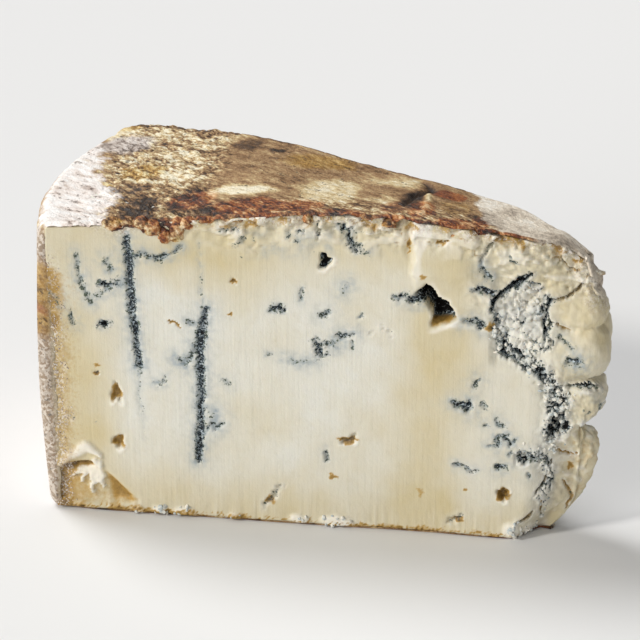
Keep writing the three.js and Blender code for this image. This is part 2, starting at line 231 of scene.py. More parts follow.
# veins of mould: path, width, strength of the dark, strength of the blue haze round it
VEINS = [
    ([(-54, 79), (-50.5, 82), (-48, 81), (-45, 80.6), (-42, 82), (-39, 84)], 1.3, 0.62, 0.8),
    ([(-69, 80), (-68.2, 75.5), (-67.4, 71), (-66.2, 68.5), (-65.2, 66)], 1.5, 0.42, 0.8),
    ([(-60.2, 79), (-59, 76.5)], 1.9, 0.45, 0.7),
    ([(-63.5, 68), (-60, 70), (-57, 71.5), (-54.5, 73)], 1.2, 0.25, 1.0),
    ([(-77.2, 68), (-75, 66.5), (-74.6, 64)], 1.5, 0.2, 0.8),
    ([(-71, 62.5), (-70.4, 59.5)], 1.6, 0.55, 0.5),
    ([(-40.5, 50), (-38.6, 48.6), (-36.5, 52), (-35.5, 54)], 1.6, 0.45, 1.0),
    ([(-38, 61.7), (-36, 61.4)], 1.4, 0.5, 0.6),
    ([(-33, 28.5), (-31.4, 30), (-30.4, 28.6), (-28, 30.6)], 1.2, 0.6, 1.0),
    ([(-30.5, 33), (-32, 30)], 2.2, 0.1, 1.0),
    ([(-47.5, 42.5), (-45.5, 42), (-44.2, 44.5)], 1.0, 0.35, 0.7),
    ([(-5, 71), (-4.8, 74)], 1.0, 0.45, 0.5), ([(6, 73.5), (7.5, 76)], 1.6, 0.12, 0.7),
    ([(0.2, 66.4), (2.6, 67.8)], 1.5, 0.6, 0.5), ([(5, 60.2), (7.2, 60.6), (8.8, 61.2)], 1.5, 0.75, 1.0),
    ([(4, 57), (6, 60)], 1.3, 0.1, 1.0), ([(9.2, 58.6), (9.2, 57.4)], 1.2, 0.5, 0.4),
    ([(-9, 52), (-6, 51.5), (-2, 52)], 1.4, 0.12, 0.8), ([(-14.5, 53), (-13.5, 53)], 1.2, 0.3, 0.4),
    ([(-28, 44.6), (-25.5, 43.2)], 1.2, 0.25, 0.5),
    ([(40.5, 67.2), (43, 67.6), (44.8, 66)], 1.5, 0.75, 1.0),
    ([(38.4, 42), (39.4, 41.4)], 1.6, 0.85, 0.9), ([(41.3, 42.2), (41.6, 40.6)], 1.9, 0.95, 0.9),
    ([(44.6, 49.6), (43.4, 47.6)], 1.5, 0.55, 0.6), ([(46, 42), (47.2, 41)], 1.5, 0.45, 0.2),
    ([(46.6, 36), (47.4, 35.6)], 1.1, 0.55, 0.5), ([(50, 37.5), (51.6, 35.8)], 1.3, 0.5, 0.7),
    ([(48, 29.8), (50.6, 29), (50, 32.4), (52.6, 33)], 1.0, 0.6, 0.9),
    ([(52.4, 31.6), (53.6, 29.6), (55.2, 31)], 1.1, 0.75, 0.9),
    ([(54.6, 28), (53.6, 27)], 1.0, 0.45, 0.6), ([(50.6, 23.2), (52.6, 22.8)], 1.6, 0.75, 0.7),
    ([(38.5, 22.9), (41, 22.7), (43, 20.8), (44.2, 21.6)], 0.9, 0.6, 0.6),
    ([(57.4, 27.6), (58.4, 24.6)], 1.9, 0.95, 0.6), ([(58.4, 27.4), (61, 26)], 1.8, 0.85, 0.7),
    ([(63, 28), (64.4, 26.4)], 1.7, 0.6, 0.4), ([(59, 21.6), (59.6, 20.6)], 1.2, 0.6, 0.6),
    ([(70, 57), (71.4, 56.8)], 2.2, 0.95, 0.9), ([(67, 64.4), (69.4, 61)], 1.4, 0.5, 0.6),
    ([(44.6, 82.6), (46, 80.6)], 1.6, 0.7, 1.0), ([(1.2, 24), (2, 21.4)], 1.0, 0.75, 0.4),
    ([(52, 86.4), (54, 85)], 1.2, 0.5, 0.2),
]
# stains of brown, olive or ochre without mould: centre x, z, half width, half height, strength
STAINS = [
    (-58.9, 38.2, 1.9, 3.0, 0.8), (-58.6, 22.8, 2.0, 2.2, 0.8), (-64.2, 44, 1.0, 0.7, 0.9),
    (-64, 46.6, 0.9, 0.5, 0.7), (-24.4, 75, 1.1, 0.9, 1.0), (-25.4, 65, 1.1, 0.6, 1.0),
    (8, 28, 3.0, 1.3, 0.9), (3.6, 16.2, 1.3, 1.2, 0.8), (-14.6, 7.4, 1.7, 1.7, 0.8),
    (39.6, 5.4, 2.2, 0.9, 0.9), (28.8, 13.2, 1.6, 1.6, 0.45), (52.4, 14.2, 2.1, 2.4, 1.0),
    (47.5, 65.8, 1.8, 1.9, 0.8), (24.4, 88.6, 0.8, 2.6, 0.9), (28.4, 79.8, 1.2, 1.0, 0.7),
    (71.6, 24.6, 0.9, 1.6, 0.8), (42, 15, 1.0, 0.4, 0.8),
]
# cracks: path, width, depth, how dark the mould in it is; a crack without mould gets a brown core as painted
# shade
CRACKS = [
    ([(58, 82.2), (55, 80), (52, 77.8), (49.8, 75.4), (48.2, 74), (47.6, 71), (49.8, 69)], 0.7, 2.6, 1.0),
    ([(42, 76.6), (45, 77), (48, 75.6)], 0.9, 1.2, 0.8),
    ([(50, 65.2), (51.4, 62.6), (52, 60.6), (50, 59.4), (53, 57.6), (55.6, 56.4)], 0.9, 2.0, 0.9),
    ([(55.6, 56.4), (58, 54), (61, 54), (63, 51.6), (65.4, 49.6)], 1.0, 2.2, 0.9),
    ([(65.4, 49.6), (66.4, 47), (68.6, 45.2), (66.4, 43), (64.8, 41.6)], 1.1, 2.6, 1.0),
    ([(63, 76.4), (64, 74.8), (62.2, 73), (61, 71)], 0.7, 2.0, 0.9),
    ([(63.4, 74), (63, 71), (63.8, 68), (63, 65), (64.6, 62), (62.2, 60)], 0.6, 1.8, 0.6),
    ([(-62, 71.8), (-60.2, 71.4), (-58.6, 72), (-57.2, 72.6)], 1.1, 1.3, 1.0),
    ([(-62, 59.2), (-61, 59.4)], 1.2, 1.0, 1.0),
    ([(-13.6, 67.2), (-12, 67.8), (-10.8, 67.2)], 1.1, 1.1, 1.0),
    ([(-1.6, 58), (-0.4, 56.4), (0.2, 54.6)], 1.6, 1.3, 0.85),
    ([(1.2, 57.6), (2.6, 58.4)], 1.1, 1.0, 0.8),
    ([(4.8, 92.8), (6.8, 92.4), (8.4, 92), (8.2, 89.4), (8.8, 87.6), (10.4, 86)], 1.0, 1.6, 0.8),
    ([(-0.6, 93.5), (-0.4, 89)], 0.6, 1.2, 0.3),
    ([(-28, 90.4), (-25.4, 90.8), (-23, 90.3)], 0.8, 0.9, 0.5),
    ([(-6.6, 90.4), (-5, 90.9)], 0.7, 0.8, 0.6),
    ([(21.4, 73.2), (23, 73.6), (25, 72.6), (28.6, 73.6)], 1.1, 1.6, 1.0),
    ([(17, 64), (18.6, 63.2), (20.2, 61)], 0.6, 0.6, 0.1), ([(11.4, 66.4), (12, 67.4)], 0.6, 0.6, 0.6),
    ([(13.6, 62.2), (15, 62.4)], 0.5, 0.5, 0.1),
    ([(-43, 61.8), (-41.4, 61.5), (-40, 60.4)], 0.7, 0.6, 0.0),
    ([(-47, 41.6), (-45.8, 42.4), (-44.6, 43)], 0.5, 0.6, 0.7),
    ([(-16.4, 5.2), (-14.6, 7.2), (-13, 9.4), (-11.4, 12.6)], 1.0, 0.9, 0.3),
    ([(38.5, 22.9), (41, 22.7), (43, 20.8)], 0.6, 0.6, 0.3), ([(37.6, 4.8), (40.6, 6.2)], 1.1, 1.2, 0.3),
    ([(35, 90.6), (33, 89.2), (31, 89.4)], 0.8, 0.9, 0.0),
    ([(47.4, 90.4), (45.4, 87.6), (44.4, 85)], 0.8, 1.2, 0.3),
]
# hollows with a ragged rim: centre x, z, half width, half height, depth, how dark inside
HOLLOWS = [
    (1.3, 82.8, 1.5, 2.3, 3.0, 1.0), (-58.8, 38.2, 1.4, 2.7, 1.7, 0.0), (-58.6, 22.8, 1.6, 1.9, 1.8, 0.0),
    (-12.2, 67.4, 0.9, 0.6, 1.0, 0.8), (7.2, 27.6, 1.6, 0.8, 1.3, 0.2), (9.3, 28.9, 1.0, 1.5, 1.3, 0.2),
    (52.2, 14.4, 1.5, 1.8, 2.2, 0.0), (40.9, 41.4, 1.5, 1.0, 1.0, 0.8), (-61.5, 59.2, 0.7, 0.6, 1.0, 1.0),
    (-64.3, 44.2, 0.7, 0.5, 0.9, 0.4), (-71.7, 29.2, 0.4, 0.4, 0.6, 0.6),
    (-65.4, 28.6, 0.3, 0.3, 0.5, 0.6), (-24.4, 75, 0.8, 0.7, 0.7, 0.0), (67, 38, 1.9, 3.4, 4.2, 0.75),
    (69.4, 36.4, 1.0, 1.4, 2.4, 1.0), (65.2, 34.2, 0.8, 1.0, 1.8, 0.9), (57.8, 26, 1.0, 1.8, 1.6, 1.0),
]
CAVITY = [
    (27.4, 76), (29.4, 77.6), (31.6, 75.8), (32.2, 74), (35, 72.4), (37.2, 70), (37.8, 67.6),
    (36.2, 66), (31, 64), (30.6, 66.4), (30.8, 70), (29.4, 71.8), (28.4, 73.2), (26.4, 74.4),
]
print(len(VEINS), "veins,", len(CRACKS), "cracks,", len(STAINS), "stains,", len(HOLLOWS), "hollows")

# %% Distances on the front cut


def ragged(x, z, size, reach, seed):
    """x and z shifted by noise, so that what is drawn on them gets a ragged edge."""
    return (
        x + reach * noise(x, seed, z, size, seed, 2),
        z + reach * noise(x, seed + 50, z, size, seed + 9, 2),
    )


def path_distance(x, z, path):
    """Distance to a path, and the share of the path where it is nearest."""
    best = np.full(x.shape, 1e9)
    share = np.zeros(x.shape)
    points = np.array(path, float)
    lengths = np.linalg.norm(np.diff(points, axis=0), axis=1)
    starts = np.concatenate([[0], np.cumsum(lengths)])
    for (ax, az), (bx, bz), length, start in zip(points, points[1:], lengths, starts):
        t = np.clip(((x - ax) * (bx - ax) + (z - az) * (bz - az)) / length**2, 0, 1)
        d = np.hypot(x - ax - t * (bx - ax), z - az - t * (bz - az))
        nearer = d < best
        best = np.where(nearer, d, best)
        share = np.where(nearer, (start + t * length) / starts[-1], share)
    return best, share


def polygon_depth(x, z, corners):
    """Distance inside a polygon from its edge: positive inside, negative outside."""
    points = np.array(corners, float)
    best, _ = path_distance(x, z, list(points) + [points[0]])
    inside = np.zeros(x.shape, bool)
    for (ax, az), (bx, bz) in zip(points, np.roll(points, -1, 0)):
        crosses = (az > z) != (bz > z)
        slope = (bx - ax) / (bz - az if bz != az else 1e-9)
        inside ^= crosses & (x < ax + (z - az) * slope)
    return np.where(inside, best, -best)


# %% [markdown]
# ## Relief and colour fields of a cut
#
# For any place on a cut these functions give how far the surface stands out or lies back, and how much
# mould, blue haze, stain, fresh white paste and warm cream it shows. Shade is painted into the mould and
# stain fields in deep gaps, holes and creases, and highlights into the fresh field on lips and crags. The
# fields become attributes of the mesh, so relief and colour always agree.

# %% Veins, channels, cracks and hollows


def blank_fields(x, z):
    names = ("out", "mould", "haze", "stain_and_shade", "fresh_and_highlight", "warm", "loose", "white")
    return {name: np.zeros(np.broadcast(x, z).shape) for name in names}


def raise_to(fields, name, value):
    fields[name] = np.maximum(fields[name], value)


def draw_channels(f, x, z, channels, faint):
    """A groove that a needle left, lined with loose dark mould and dusted with pale specks."""
    wx, wz = ragged(*ragged(x, z, 4.2, 0.55, 51), 1.2, 0.5, 57)
    grain = noise(x, 11, z, 0.95, 52, 2)
    for path in channels:
        d, share = path_distance(wx, wz, path)
        thick = 1 + 0.6 * noise(x, 1, z, 2.8, 53, 3)
        edge = 1.25 * thick * mix(0.7, 1, smooth(0.0, 0.12, share)) * mix(1.05, 0.8, share)
        core = smooth(1.25, 0.5, d / edge)
        f["out"] -= 0.7 * core * (1 + 0.6 * grain)
        body = bell(d, 1.12 * edge) * (0.74 + 0.22 * noise(x, 2, z, 3.5, 54, 2))
        raise_to(f, "mould", body)
        raise_to(f, "haze", 0.95 * bell(d, 2.3) + 0.3 * bell(d, 5))
        raise_to(f, "loose", core)
    for path in faint:
        d, share = path_distance(wx, wz, path)
        fade = 1 - 0.75 * share if path[0][1] < 60 else 0.35 + 0.55 * share
        raise_to(f, "haze", 0.8 * fade * bell(d, 1.3))
        raise_to(f, "mould", 0.34 * fade * bell(d, 0.6))
        f["out"] -= 0.12 * bell(d, 0.9)


def draw_veins(f, x, z, veins):
    """Crumbs of mould that thin out into a blue haze."""
    wx, wz = ragged(*ragged(x, z, 2.8, 0.9, 61), 0.95, 0.5, 65)
    for number, (path, width, dark, blue) in enumerate(veins):
        d, _ = path_distance(wx, wz, path)
        blot = 1 + 0.7 * noise(x, 3 * number, z, 1.7, 62, 2)
        near = np.exp(-((d / (0.62 * width * np.maximum(blot, 0.25))) ** 2))
        raise_to(f, "mould", (0.26 + 0.54 * dark) * near)
        raise_to(f, "haze", 1.15 * blue * bell(d, 2.0 * width) * (0.85 + 0.4 * noise(x, 1, z, 3, 63)))
        hollow = smooth(0.45, 0.8, near * (0.4 + dark))
        f["out"] -= 1.1 * dark * hollow
        # painted highlight: pale paste is painted in a ring just outside each dark vein
        f["fresh_and_highlight"] += 0.4 * dark * bell(d - 1.1 * width, 0.5) * smooth(0.0, 0.4, noise(x, 8, z, 1.3, 64))


def draw_cracks(f, x, z, cracks):
    """Gaps between crumbs, black with mould where it is dark, and pale crumbs along both edges."""
    wx, wz = ragged(*ragged(x, z, 2.6, 0.8, 67), 0.9, 0.42, 69)
    crumb, parting = crumble(x, z, 1.7, 73)
    for number, (path, width, depth, dark) in enumerate(cracks):
        d, share = path_distance(wx, wz, path)
        taper = np.sin(math.pi * mix(0.14, 0.86, share))
        gap = np.maximum(0.5 * width * taper * (1 + 0.7 * noise(x, number + 3, z, 2.0, 71)), 0.1)
        core = smooth(1.3, 0.6, d / gap)
        beside = bell(d, 1.1 * width + 0.3)
        core = np.maximum(core, 0.75 * parting * smooth(0.35, 0.75, beside))
        f["out"] -= depth * core
        # the core is coloured dark: mould where the crack is mouldy, otherwise a brown that is painted shade
        if dark:
            raise_to(f, "mould", dark * np.maximum(core, 0.4 * beside))
            raise_to(f, "haze", 0.75 * dark * bell(d, 1.6 * width))
        else:
            raise_to(f, "stain_and_shade", 0.9 * core)
        f["fresh_and_highlight"] += 0.55 * beside * (1 - core) * crumb
        f["out"] += 0.35 * min(depth, 2) * beside * (1 - core) * (crumb - 0.5)
        raise_to(f, "loose", 0.35 * dark * core)


def torn_oval(x, z, cx, cz, half_x, half_z, number):
    """Distance from the middle of an oval whose rim has a few corners: 1 on the rim."""
    angle = np.arctan2((z - cz) / half_z, (x - cx) / half_x)
    corners = 1 + 0.26 * np.cos(3 * angle + 1.7 * number) + 0.16 * np.cos(5 * angle - 2.3 * number)
    return np.hypot((x - cx) / half_x, (z - cz) / half_z) / corners


def draw_hollows(f, x, z, hollows, stains):
    """Eyes with a torn rim and a lip below that is painted pale as a highlight, and the brown stains in and
    beside them.
    """
    wx, wz = ragged(x, z, 1.5, 0.45, 81)
    for number, (cx, cz, half_x, half_z, depth, dark) in enumerate(hollows):
        d = torn_oval(wx, wz, cx, cz, half_x, half_z, number)
        f["out"] -= depth * smooth(1.15, 0.6, d)
        raise_to(f, "mould", dark * smooth(1.1, 0.75, d))
        # painted highlight: the lower right lip, which faces the light, is painted fresh white
        below_right = smooth(-0.4, 0.7, (wx - cx) / half_x * 0.6 - (wz - cz) / half_z * 0.8)
        lip = bell(d - 1.35, 0.3) * below_right
        f["fresh_and_highlight"] += 0.8 * lip
        f["out"] += 0.22 * lip
    wx, wz = ragged(x, z, 1.3, 0.6, 82)
    for number, (cx, cz, half_x, half_z, strength) in enumerate(stains):
        d = torn_oval(wx, wz, cx, cz, half_x, half_z, number + 0.5)
        raise_to(f, "stain_and_shade", strength * smooth(1.2, 0.35, d))
        f["haze"] *= 1 - 0.7 * smooth(1.6, 0.9, d)


# %% [markdown]
# ## What only the front cut has
#
# The upper edge tore into small crags. The lower left corner lost a chip, under a torn white ridge and
# with strands of paste left standing in it. Right of the middle a flake came away and left a cavity,
# and towards the tip the paste is crumbly and blue.

# %% Torn edge, chip, cavity and crumbly tip
CHIP = [
    (-78, 13.6), (-72, 15.6), (-66.4, 16), (-62.4, 13), (-54.4, 5.6), (-54.6, 2.6), (-60, 1.4), (-79, 1.4),
]
CHIP_RIDGE = [(-75.5, 15), (-71.5, 18.5), (-68, 20.5), (-64, 17.6)]
CHIP_STRANDS = [
    ([(-70.2, 13.2), (-67.5, 14.2), (-64.8, 15.2)], 1.6),
    ([(-67.2, 13.4), (-70.4, 11.4), (-73.0, 10.4)], 1.7),
    ([(-67.2, 13.0), (-69.8, 9.8), (-70.6, 8.6)], 1.2), ([(-66.6, 14.0), (-66.8, 10), (-67.4, 5.2)], 1.9),
    ([(-65.4, 15.0), (-64.6, 11), (-63.8, 6.6)], 1.9), ([(-66.0, 14), (-65.6, 10), (-65.4, 8.6)], 2.0),
]
# crumbs along the foot: from, to, low, high
FOOT_LUMPS = [
    (-55.4, -50.6, -0.4, 1.6), (-49.4, -44.6, 0.2, 2.6), (-43.4, -35.8, -0.4, 2.6),
    (-27.4, -22.6, -0.4, 2.0), (-9.4, -2.8, 0.8, 3.0), (-0.4, 10.2, 0.4, 3.5), (52, 58.4, 1.0, 5.2),
    (58.0, 64.6, 1.6, 5.6),
]
# the crumbled block, the band of crumbs below it, and gaps: path, half width, depth, how mouldy; each gap is
# painted dark as shade, in mould as far as it is mouldy and in brown for the rest
ISLAND = [
    (48, 73), (52, 77), (57, 82), (61, 80), (63, 74), (62.6, 66), (62, 59), (58, 57), (54, 59.6), (49.4, 66),
]
CRUMB_BAND = [
    (49, 66.5), (52, 60.4), (57, 56.8), (61, 54.4), (64.4, 50), (66.6, 45.4), (67, 40), (65.4, 35),
]
GAPS = [
    ([(58.4, 82.2), (55, 80), (52, 77.8), (49.8, 75.4), (48, 73.4), (47.2, 70)], 0.5, 3.0, 1),
    ([(62.6, 77), (63.4, 74.6), (62.6, 71.4), (62, 67.6), (62.6, 63), (62, 60)], 0.42, 2.6, 1),
    ([(63.4, 74.6), (66, 75.4), (68.6, 76.2), (71, 78.4), (72.4, 81)], 0.5, 2.2, 0.35),
    ([(65, 68.4), (67.6, 67), (69.4, 66.4)], 0.5, 1.6, 0.2),
    ([(69, 49.4), (71, 49.2), (74, 49.6), (78.5, 49.8)], 0.8, 3.4, 0.85),
    ([(52.2, 61.6), (54.4, 59.8), (57, 57)], 0.6, 2.0, 1), ([(66.4, 43.6), (70, 44.2)], 0.5, 1.4, 1),
    ([(65.2, 39.6), (65.8, 36.4), (64.6, 33.2)], 1.3, 3.6, 0.9),
    ([(68.8, 39), (69.2, 37.2)], 0.8, 2.2, 1),
    ([(65.6, 26.6), (65.8, 23.4), (64.6, 20.4), (63, 17.6), (61.4, 15)], 0.4, 1.6, 0.4),
    ([(66, 30.4), (69, 29), (73, 28.6)], 0.45, 1.6, 0.1),
    ([(63.4, 13.6), (63, 10), (64.4, 7.4)], 0.4, 1.2, 0.2),
    ([(57, 5.8), (59.4, 7.2), (61.2, 9.4)], 0.6, 1.8, 0.3),
    ([(69.5, 20), (72.5, 15), (71, 11)], 0.5, 1.8, 0.2),
    ([(66.2, 88), (67.6, 85.4), (70.4, 84)], 0.4, 1.0, 0.3),
]
AMBER = [
    (-63.4, 13.8), (-60.6, 12.2), (-57.4, 8.6), (-52.6, 4.4), (-53.4, 2.8), (-58.5, 3.4), (-60.6, 1.9),
    (-62.4, 7),
]
# the torn face of the flake right of x = 25
FLAKE_FACE = [
    (24.9, 96), (25, 90.4), (25.6, 86), (25.1, 80.1), (26.5, 77.6), (28.3, 80.3), (27.8, 84), (29.6, 89),
    (32, 96),
]


def tear_upper_edge(f, x, z):
    below_top = top_height(x, 0) - z
    left_of_lump = np.maximum(smooth(64, 61, x), smooth(75, 79, z))
    tear = smooth(-42, -22, x) * smooth(14, 4, below_top + 2 * noise(x, 1, z, 6, 24))
    tear = np.maximum(tear, smooth(12, 5, below_top) * smooth(-5, 10, x))
    tear = np.maximum(tear, 0.85 * smooth(36, 50, x) * smooth(34, 20, below_top))
    tear = np.maximum(tear, 0.8 * smooth(47.5, 52, x) * smooth(60, 72, z)) * left_of_lump
    crag = noise(x * 0.8, 2, z * 1.25, 3.4, 21, 3)
    facet = noise(x * 0.9, 6, z, 1.5, 29, 2)
    crumb, parting = crumble(x, z * 1.3, 3.6, 25)
    ledge = smooth(0.05, 0.25, noise(x * 0.7, 12, z * 1.6, 3.2, 30, 2))
    near_top = smooth(9, 3, below_top)
    f["out"] += (
        tear * (1 + 0.5 * near_top) * (crag + 0.55 * facet + 0.45 * (crumb - 0.8) + 0.8 * ledge - 0.35)
    )
    f["out"] -= tear * parting * smooth(0.0, 0.3, crag)
    # proud crags and ledges are painted paler, partly fresh paste and partly painted highlight
    f["fresh_and_highlight"] += tear * (0.3 * smooth(0.1, 0.6, crag) + 0.5 * ledge)
    under_rind = tear * smooth(5.5, 1, below_top + 1.5 * noise(x, 4, z, 4, 34, 2))
    f["stain_and_shade"] += 0.7 * under_rind * smooth(-0.05, 0.25, noise(x, 1, z, 2.6, 26, 2))
    # painted shade: the partings between the proud crags are browned
    f["stain_and_shade"] += 0.45 * tear * parting * smooth(0.1, 0.3, crag)
    blue = smooth(-30, -18, x) * smooth(24, 8, x) * smooth(16, 10, below_top) * smooth(3, 7, below_top)
    f["mould"] += (
        0.5 * blue * smooth(0.1, 0.4, noise(x, 7, z, 2.2, 28, 2)) * smooth(0.0, 0.3, noise(x, 3, z, 7, 33))
    )
    f["haze"] += 0.6 * blue * smooth(-0.1, 0.4, noise(x, 7, z, 5, 28, 2))
    recess = bell(x - 24.3, 0.9) * smooth(84, 87, z)
    f["out"] -= 0.9 * recess
    face = polygon_depth(*ragged(x, z, 2.4, 0.7, 35), FLAKE_FACE)
    f["fresh_and_highlight"] += 0.75 * smooth(-0.5, 1.1, face)


def chip_lower_corner(f, x, z):
    d_ridge, share = path_distance(*ragged(x, z, 3, 0.6, 41), CHIP_RIDGE)
    ridge = smooth(1.0, 0.35, d_ridge / (0.9 + 1.4 * np.sin(math.pi * share)))
    inside = polygon_depth(*ragged(x, z, 5, 0.7, 42), CHIP)
    floor_of_chip = smooth(0, 2.2, inside)
    f["out"] += 0.9 * ridge - 1.9 * floor_of_chip
    f["fresh_and_highlight"] += 0.9 * ridge
    f["warm"] += 1.1 * floor_of_chip
    under, _ = path_distance(*ragged(x, z, 2, 0.3, 43), [(-74.6, 13.2), (-71, 14.4), (-67, 14.9)])
    f["out"] -= 1.3 * bell(under, 0.8)
    f["stain_and_shade"] += 0.8 * bell(under, 0.9)
    fibre = np.zeros(np.broadcast(x, z).shape)
    for strand, width in CHIP_STRANDS:
        d, share = path_distance(*ragged(x, z, 1.2, 0.75, 44), strand)
        fibre = np.maximum(fibre, smooth(1.1, 0.85, d / (width * (1 - 0.75 * share))))
    f["out"] += 0.8 * fibre * (1 + 0.5 * noise(x, 1, z, 1.1, 47, 3))
    raise_to(f, "fresh_and_highlight", 0.85 * fibre)
    amber = smooth(-0.6, 2.0, polygon_depth(*ragged(x, z, 4, 0.9, 45), AMBER)) * (1 - fibre)
    f["out"] -= 0.5 * amber
    f["stain_and_shade"] += 0.5 * amber + 0.24 * floor_of_chip * (1 - fibre)


def open_cavity(f, x, z):
    """Its floor slopes up to a lip painted pale as a highlight, and its deep upper part is painted black,
    mould and painted shade together.
    """
    inside = polygon_depth(*ragged(*ragged(x, z, 3.4, 0.7, 91), 1.3, 0.45, 94), CAVITY)
    slope = smooth(64.2, 70.4, z - 0.15 * (x - 31) + 0.9 * noise(x, 5, z, 2.6, 95, 2))
    f["out"] -= smooth(-0.2, 0.8, inside) * (0.6 + 8.4 * slope)
    # painted shade: the deep upper part is coloured black, and the stain darkens with depth
    raise_to(f, "mould", smooth(0, 0.5, inside) * smooth(0.3, 0.6, slope))
    raise_to(f, "stain_and_shade", (0.5 + 1.2 * slope) * smooth(-0.1, 0.8, inside))
    # painted highlight: the rim right of the cavity and the ledge below it are painted fresh white
    f["fresh_and_highlight"] += 0.7 * bell(inside + 0.6, 0.6) * smooth(29, 32, x)
    lip, _ = path_distance(x, z, [(34.5, 65.4), (38, 65.8), (45, 65.4)])
    f["fresh_and_highlight"] += 0.5 * bell(lip, 0.8)
    crumbs, _ = path_distance(*ragged(x, z, 2.4, 0.75, 61), [(21.5, 71.6), (25.5, 70.4), (29.4, 71)])
    raise_to(f, "haze", 0.6 * bell(crumbs, 1.6))
    f["out"] += 0.45 * bell(crumbs, 1.4) * noise(x, 8, z, 1.2, 92, 2)


def crumble_tip(f, x, z):
    """Crumbs of blue-white paste with black gaps between them, in a band and left of the smooth lump."""
    wx, wz = ragged(x, z, 3.4, 0.9, 61)
    island = smooth(-0.5, 1.5, polygon_depth(wx, wz, ISLAND))
    f["haze"] += island * (0.5 + 0.3 * noise(x, 6, z, 3, 93, 2)) * smooth(60, 68, z)
    band, share = path_distance(wx, wz, CRUMB_BAND)
    crumbly = bell(band, np.interp(share, [0, 0.4, 0.75, 1], [2.2, 2.6, 3.6, 2.6]))
    low, _ = path_distance(wx, wz, [(57, 26), (62, 28), (66, 22), (64, 14)])
    crumbly = np.maximum(crumbly, 0.7 * bell(low, 2.2))
    rotten = np.clip(np.maximum(crumbly * 1.2, 0.75 * island), 0, 1)
    crumb, parting = crumble(x, z, 1.2, 95)
    coarse, coarse_parting = crumble(x, z, 2.6, 96)
    parting, coarse_parting = parting**2, coarse_parting**1.6
    chunk = noise(x, 14, z, 3.6, 97, 3)
    powder = noise(x, 15, z, 0.9, 106, 2)
    f["out"] += (
        rotten
        * (0.45 * (crumb - 0.7) + (1.2 - 0.7 * island) * (coarse - 0.75) + 1.2 * chunk + 0.35 * powder)
    )
    f["out"] -= rotten * (0.5 * parting * smooth(0.3, 0.8, crumbly) + 1.5 * coarse_parting)
    gaps = np.maximum(0.6 * parting, coarse_parting) * smooth(0.3, 0.75, crumbly)
    raise_to(f, "mould", 0.9 * gaps)
    raise_to(f, "mould", 0.8 * island * coarse_parting * smooth(-0.1, 0.3, noise(x, 4, z, 4, 94, 2)))
    torn = smooth(61, 67, x) * mix(0.25, 1, smooth(53, 46, z))
    shard = noise(x + 0.4 * z, 17, z * 1.2, 6.5, 107, 3)
    rough = noise(x, 16, z, 2.0, 108, 3)
    f["out"] += torn * (0.7 * shard + 0.7 * rough) * smooth(78, 72, x)
    f["fresh_and_highlight"] += 0.5 * torn * smooth(0.1, 0.5, shard + 0.6 * rough)
    powdery = torn * smooth(45, 41, z + 2 * noise(x, 24, z, 4, 115)) * smooth(25, 30, z) * smooth(72, 67, x)
    raise_to(f, "white", 0.55 * powdery * smooth(-0.1, 0.35, rough))
    # painted shade: the lower right of the tip, which turns away from the light, is darkened through this
    # field
    raise_to(
        f, "stain_and_shade", torn * smooth(66, 72, x) * smooth(40, 30, z) * (0.1 + 0.14 * smooth(0.1, -0.4, rough)),
    )
    raise_to(
        f, "haze",
        0.5 * torn * smooth(51, 48, z) * smooth(30, 38, z) * smooth(0.0, 0.4, noise(x, 18, z, 3.5, 109, 2)),
    )
    raise_to(
        f, "mould",
        0.5 * torn * smooth(50, 47, z) * smooth(38, 42, z) * smooth(0.25, 0.5, noise(x, 19, z, 2.2, 110, 2)),
    )
    raise_to(f, "haze", 0.75 * crumbly)
    f["fresh_and_highlight"] += 0.8 * rotten * crumb
    clear = smooth(0.15, -0.25, noise(x, 21, z, 2.6, 98, 2)) + 0.15
    raise_to(
        f, "white", np.clip(crumbly * 1.1 * clear, 0, 1) * (1 - coarse_parting) + 0.12 * island * clear,
    )
    raise_to(f, "loose", 0.5 * gaps)
    for path, width, depth, tone in GAPS:
        d, share = path_distance(*ragged(x, z, 1.8, 0.5, 77), path)
        open_by = width * np.sin(math.pi * mix(0.12, 0.88, share)) * (1 + 0.4 * noise(x, 5, z, 2.2, 78, 2))
        gap = smooth(1.15, 0.55, d / np.maximum(open_by, 0.15))
        f["out"] -= depth * gap
        # painted shade: the gap is coloured dark, mould as far as it is mouldy and brown for the rest
        raise_to(f, "mould", tone * gap)
        raise_to(f, "haze", 0.5 * tone * bell(d, 2.2 * width))
        raise_to(f, "stain_and_shade", 0.75 * (1 - tone) * gap)
        above_gap = bell(d, 1.8 * width) * (1 - gap)
        f["out"] += 0.3 * above_gap
        f["fresh_and_highlight"] += 0.5 * above_gap


def lay_foot(f, x, z):
    """White crumbs pressed out along the foot, and a brown stain above it."""
    for start, stop, low, high in FOOT_LUMPS:
        mid, half = 0.5 * (start + stop), 0.5 * (stop - start)
        wx, wz = ragged(x, z, 1.6, 0.4, 86)
        d = np.hypot((wx - mid) / half, (wz - 0.5 * (low + high)) / (0.55 * (high - low) + 0.3))
        lump = smooth(1.15, 0.5, d)
        f["out"] += 0.75 * lump
        f["fresh_and_highlight"] += 0.9 * lump
        raise_to(f, "white", 0.6 * lump)
    crumb, parting = crumble(x, z, 1.5, 87)
    edge = smooth(3.2, 1.0, z + 0.9 * noise(x, 2, z, 3, 88, 2))
    f["out"] += 0.4 * edge * (crumb - 0.6)
    raise_to(f, "stain_and_shade", 0.7 * edge * parting + 0.5 * edge * smooth(0.1, 0.4, noise(x, 6, z, 5, 89, 2)))
    strokes = noise(x, 0, z * 0.06, 0.8, 90, 2) * smooth(12, 3, z + 4 * noise(x, 0, 0, 8, 91))
    f["out"] += 0.12 * strokes
    f["fresh_and_highlight"] += 0.35 * np.maximum(0, strokes)


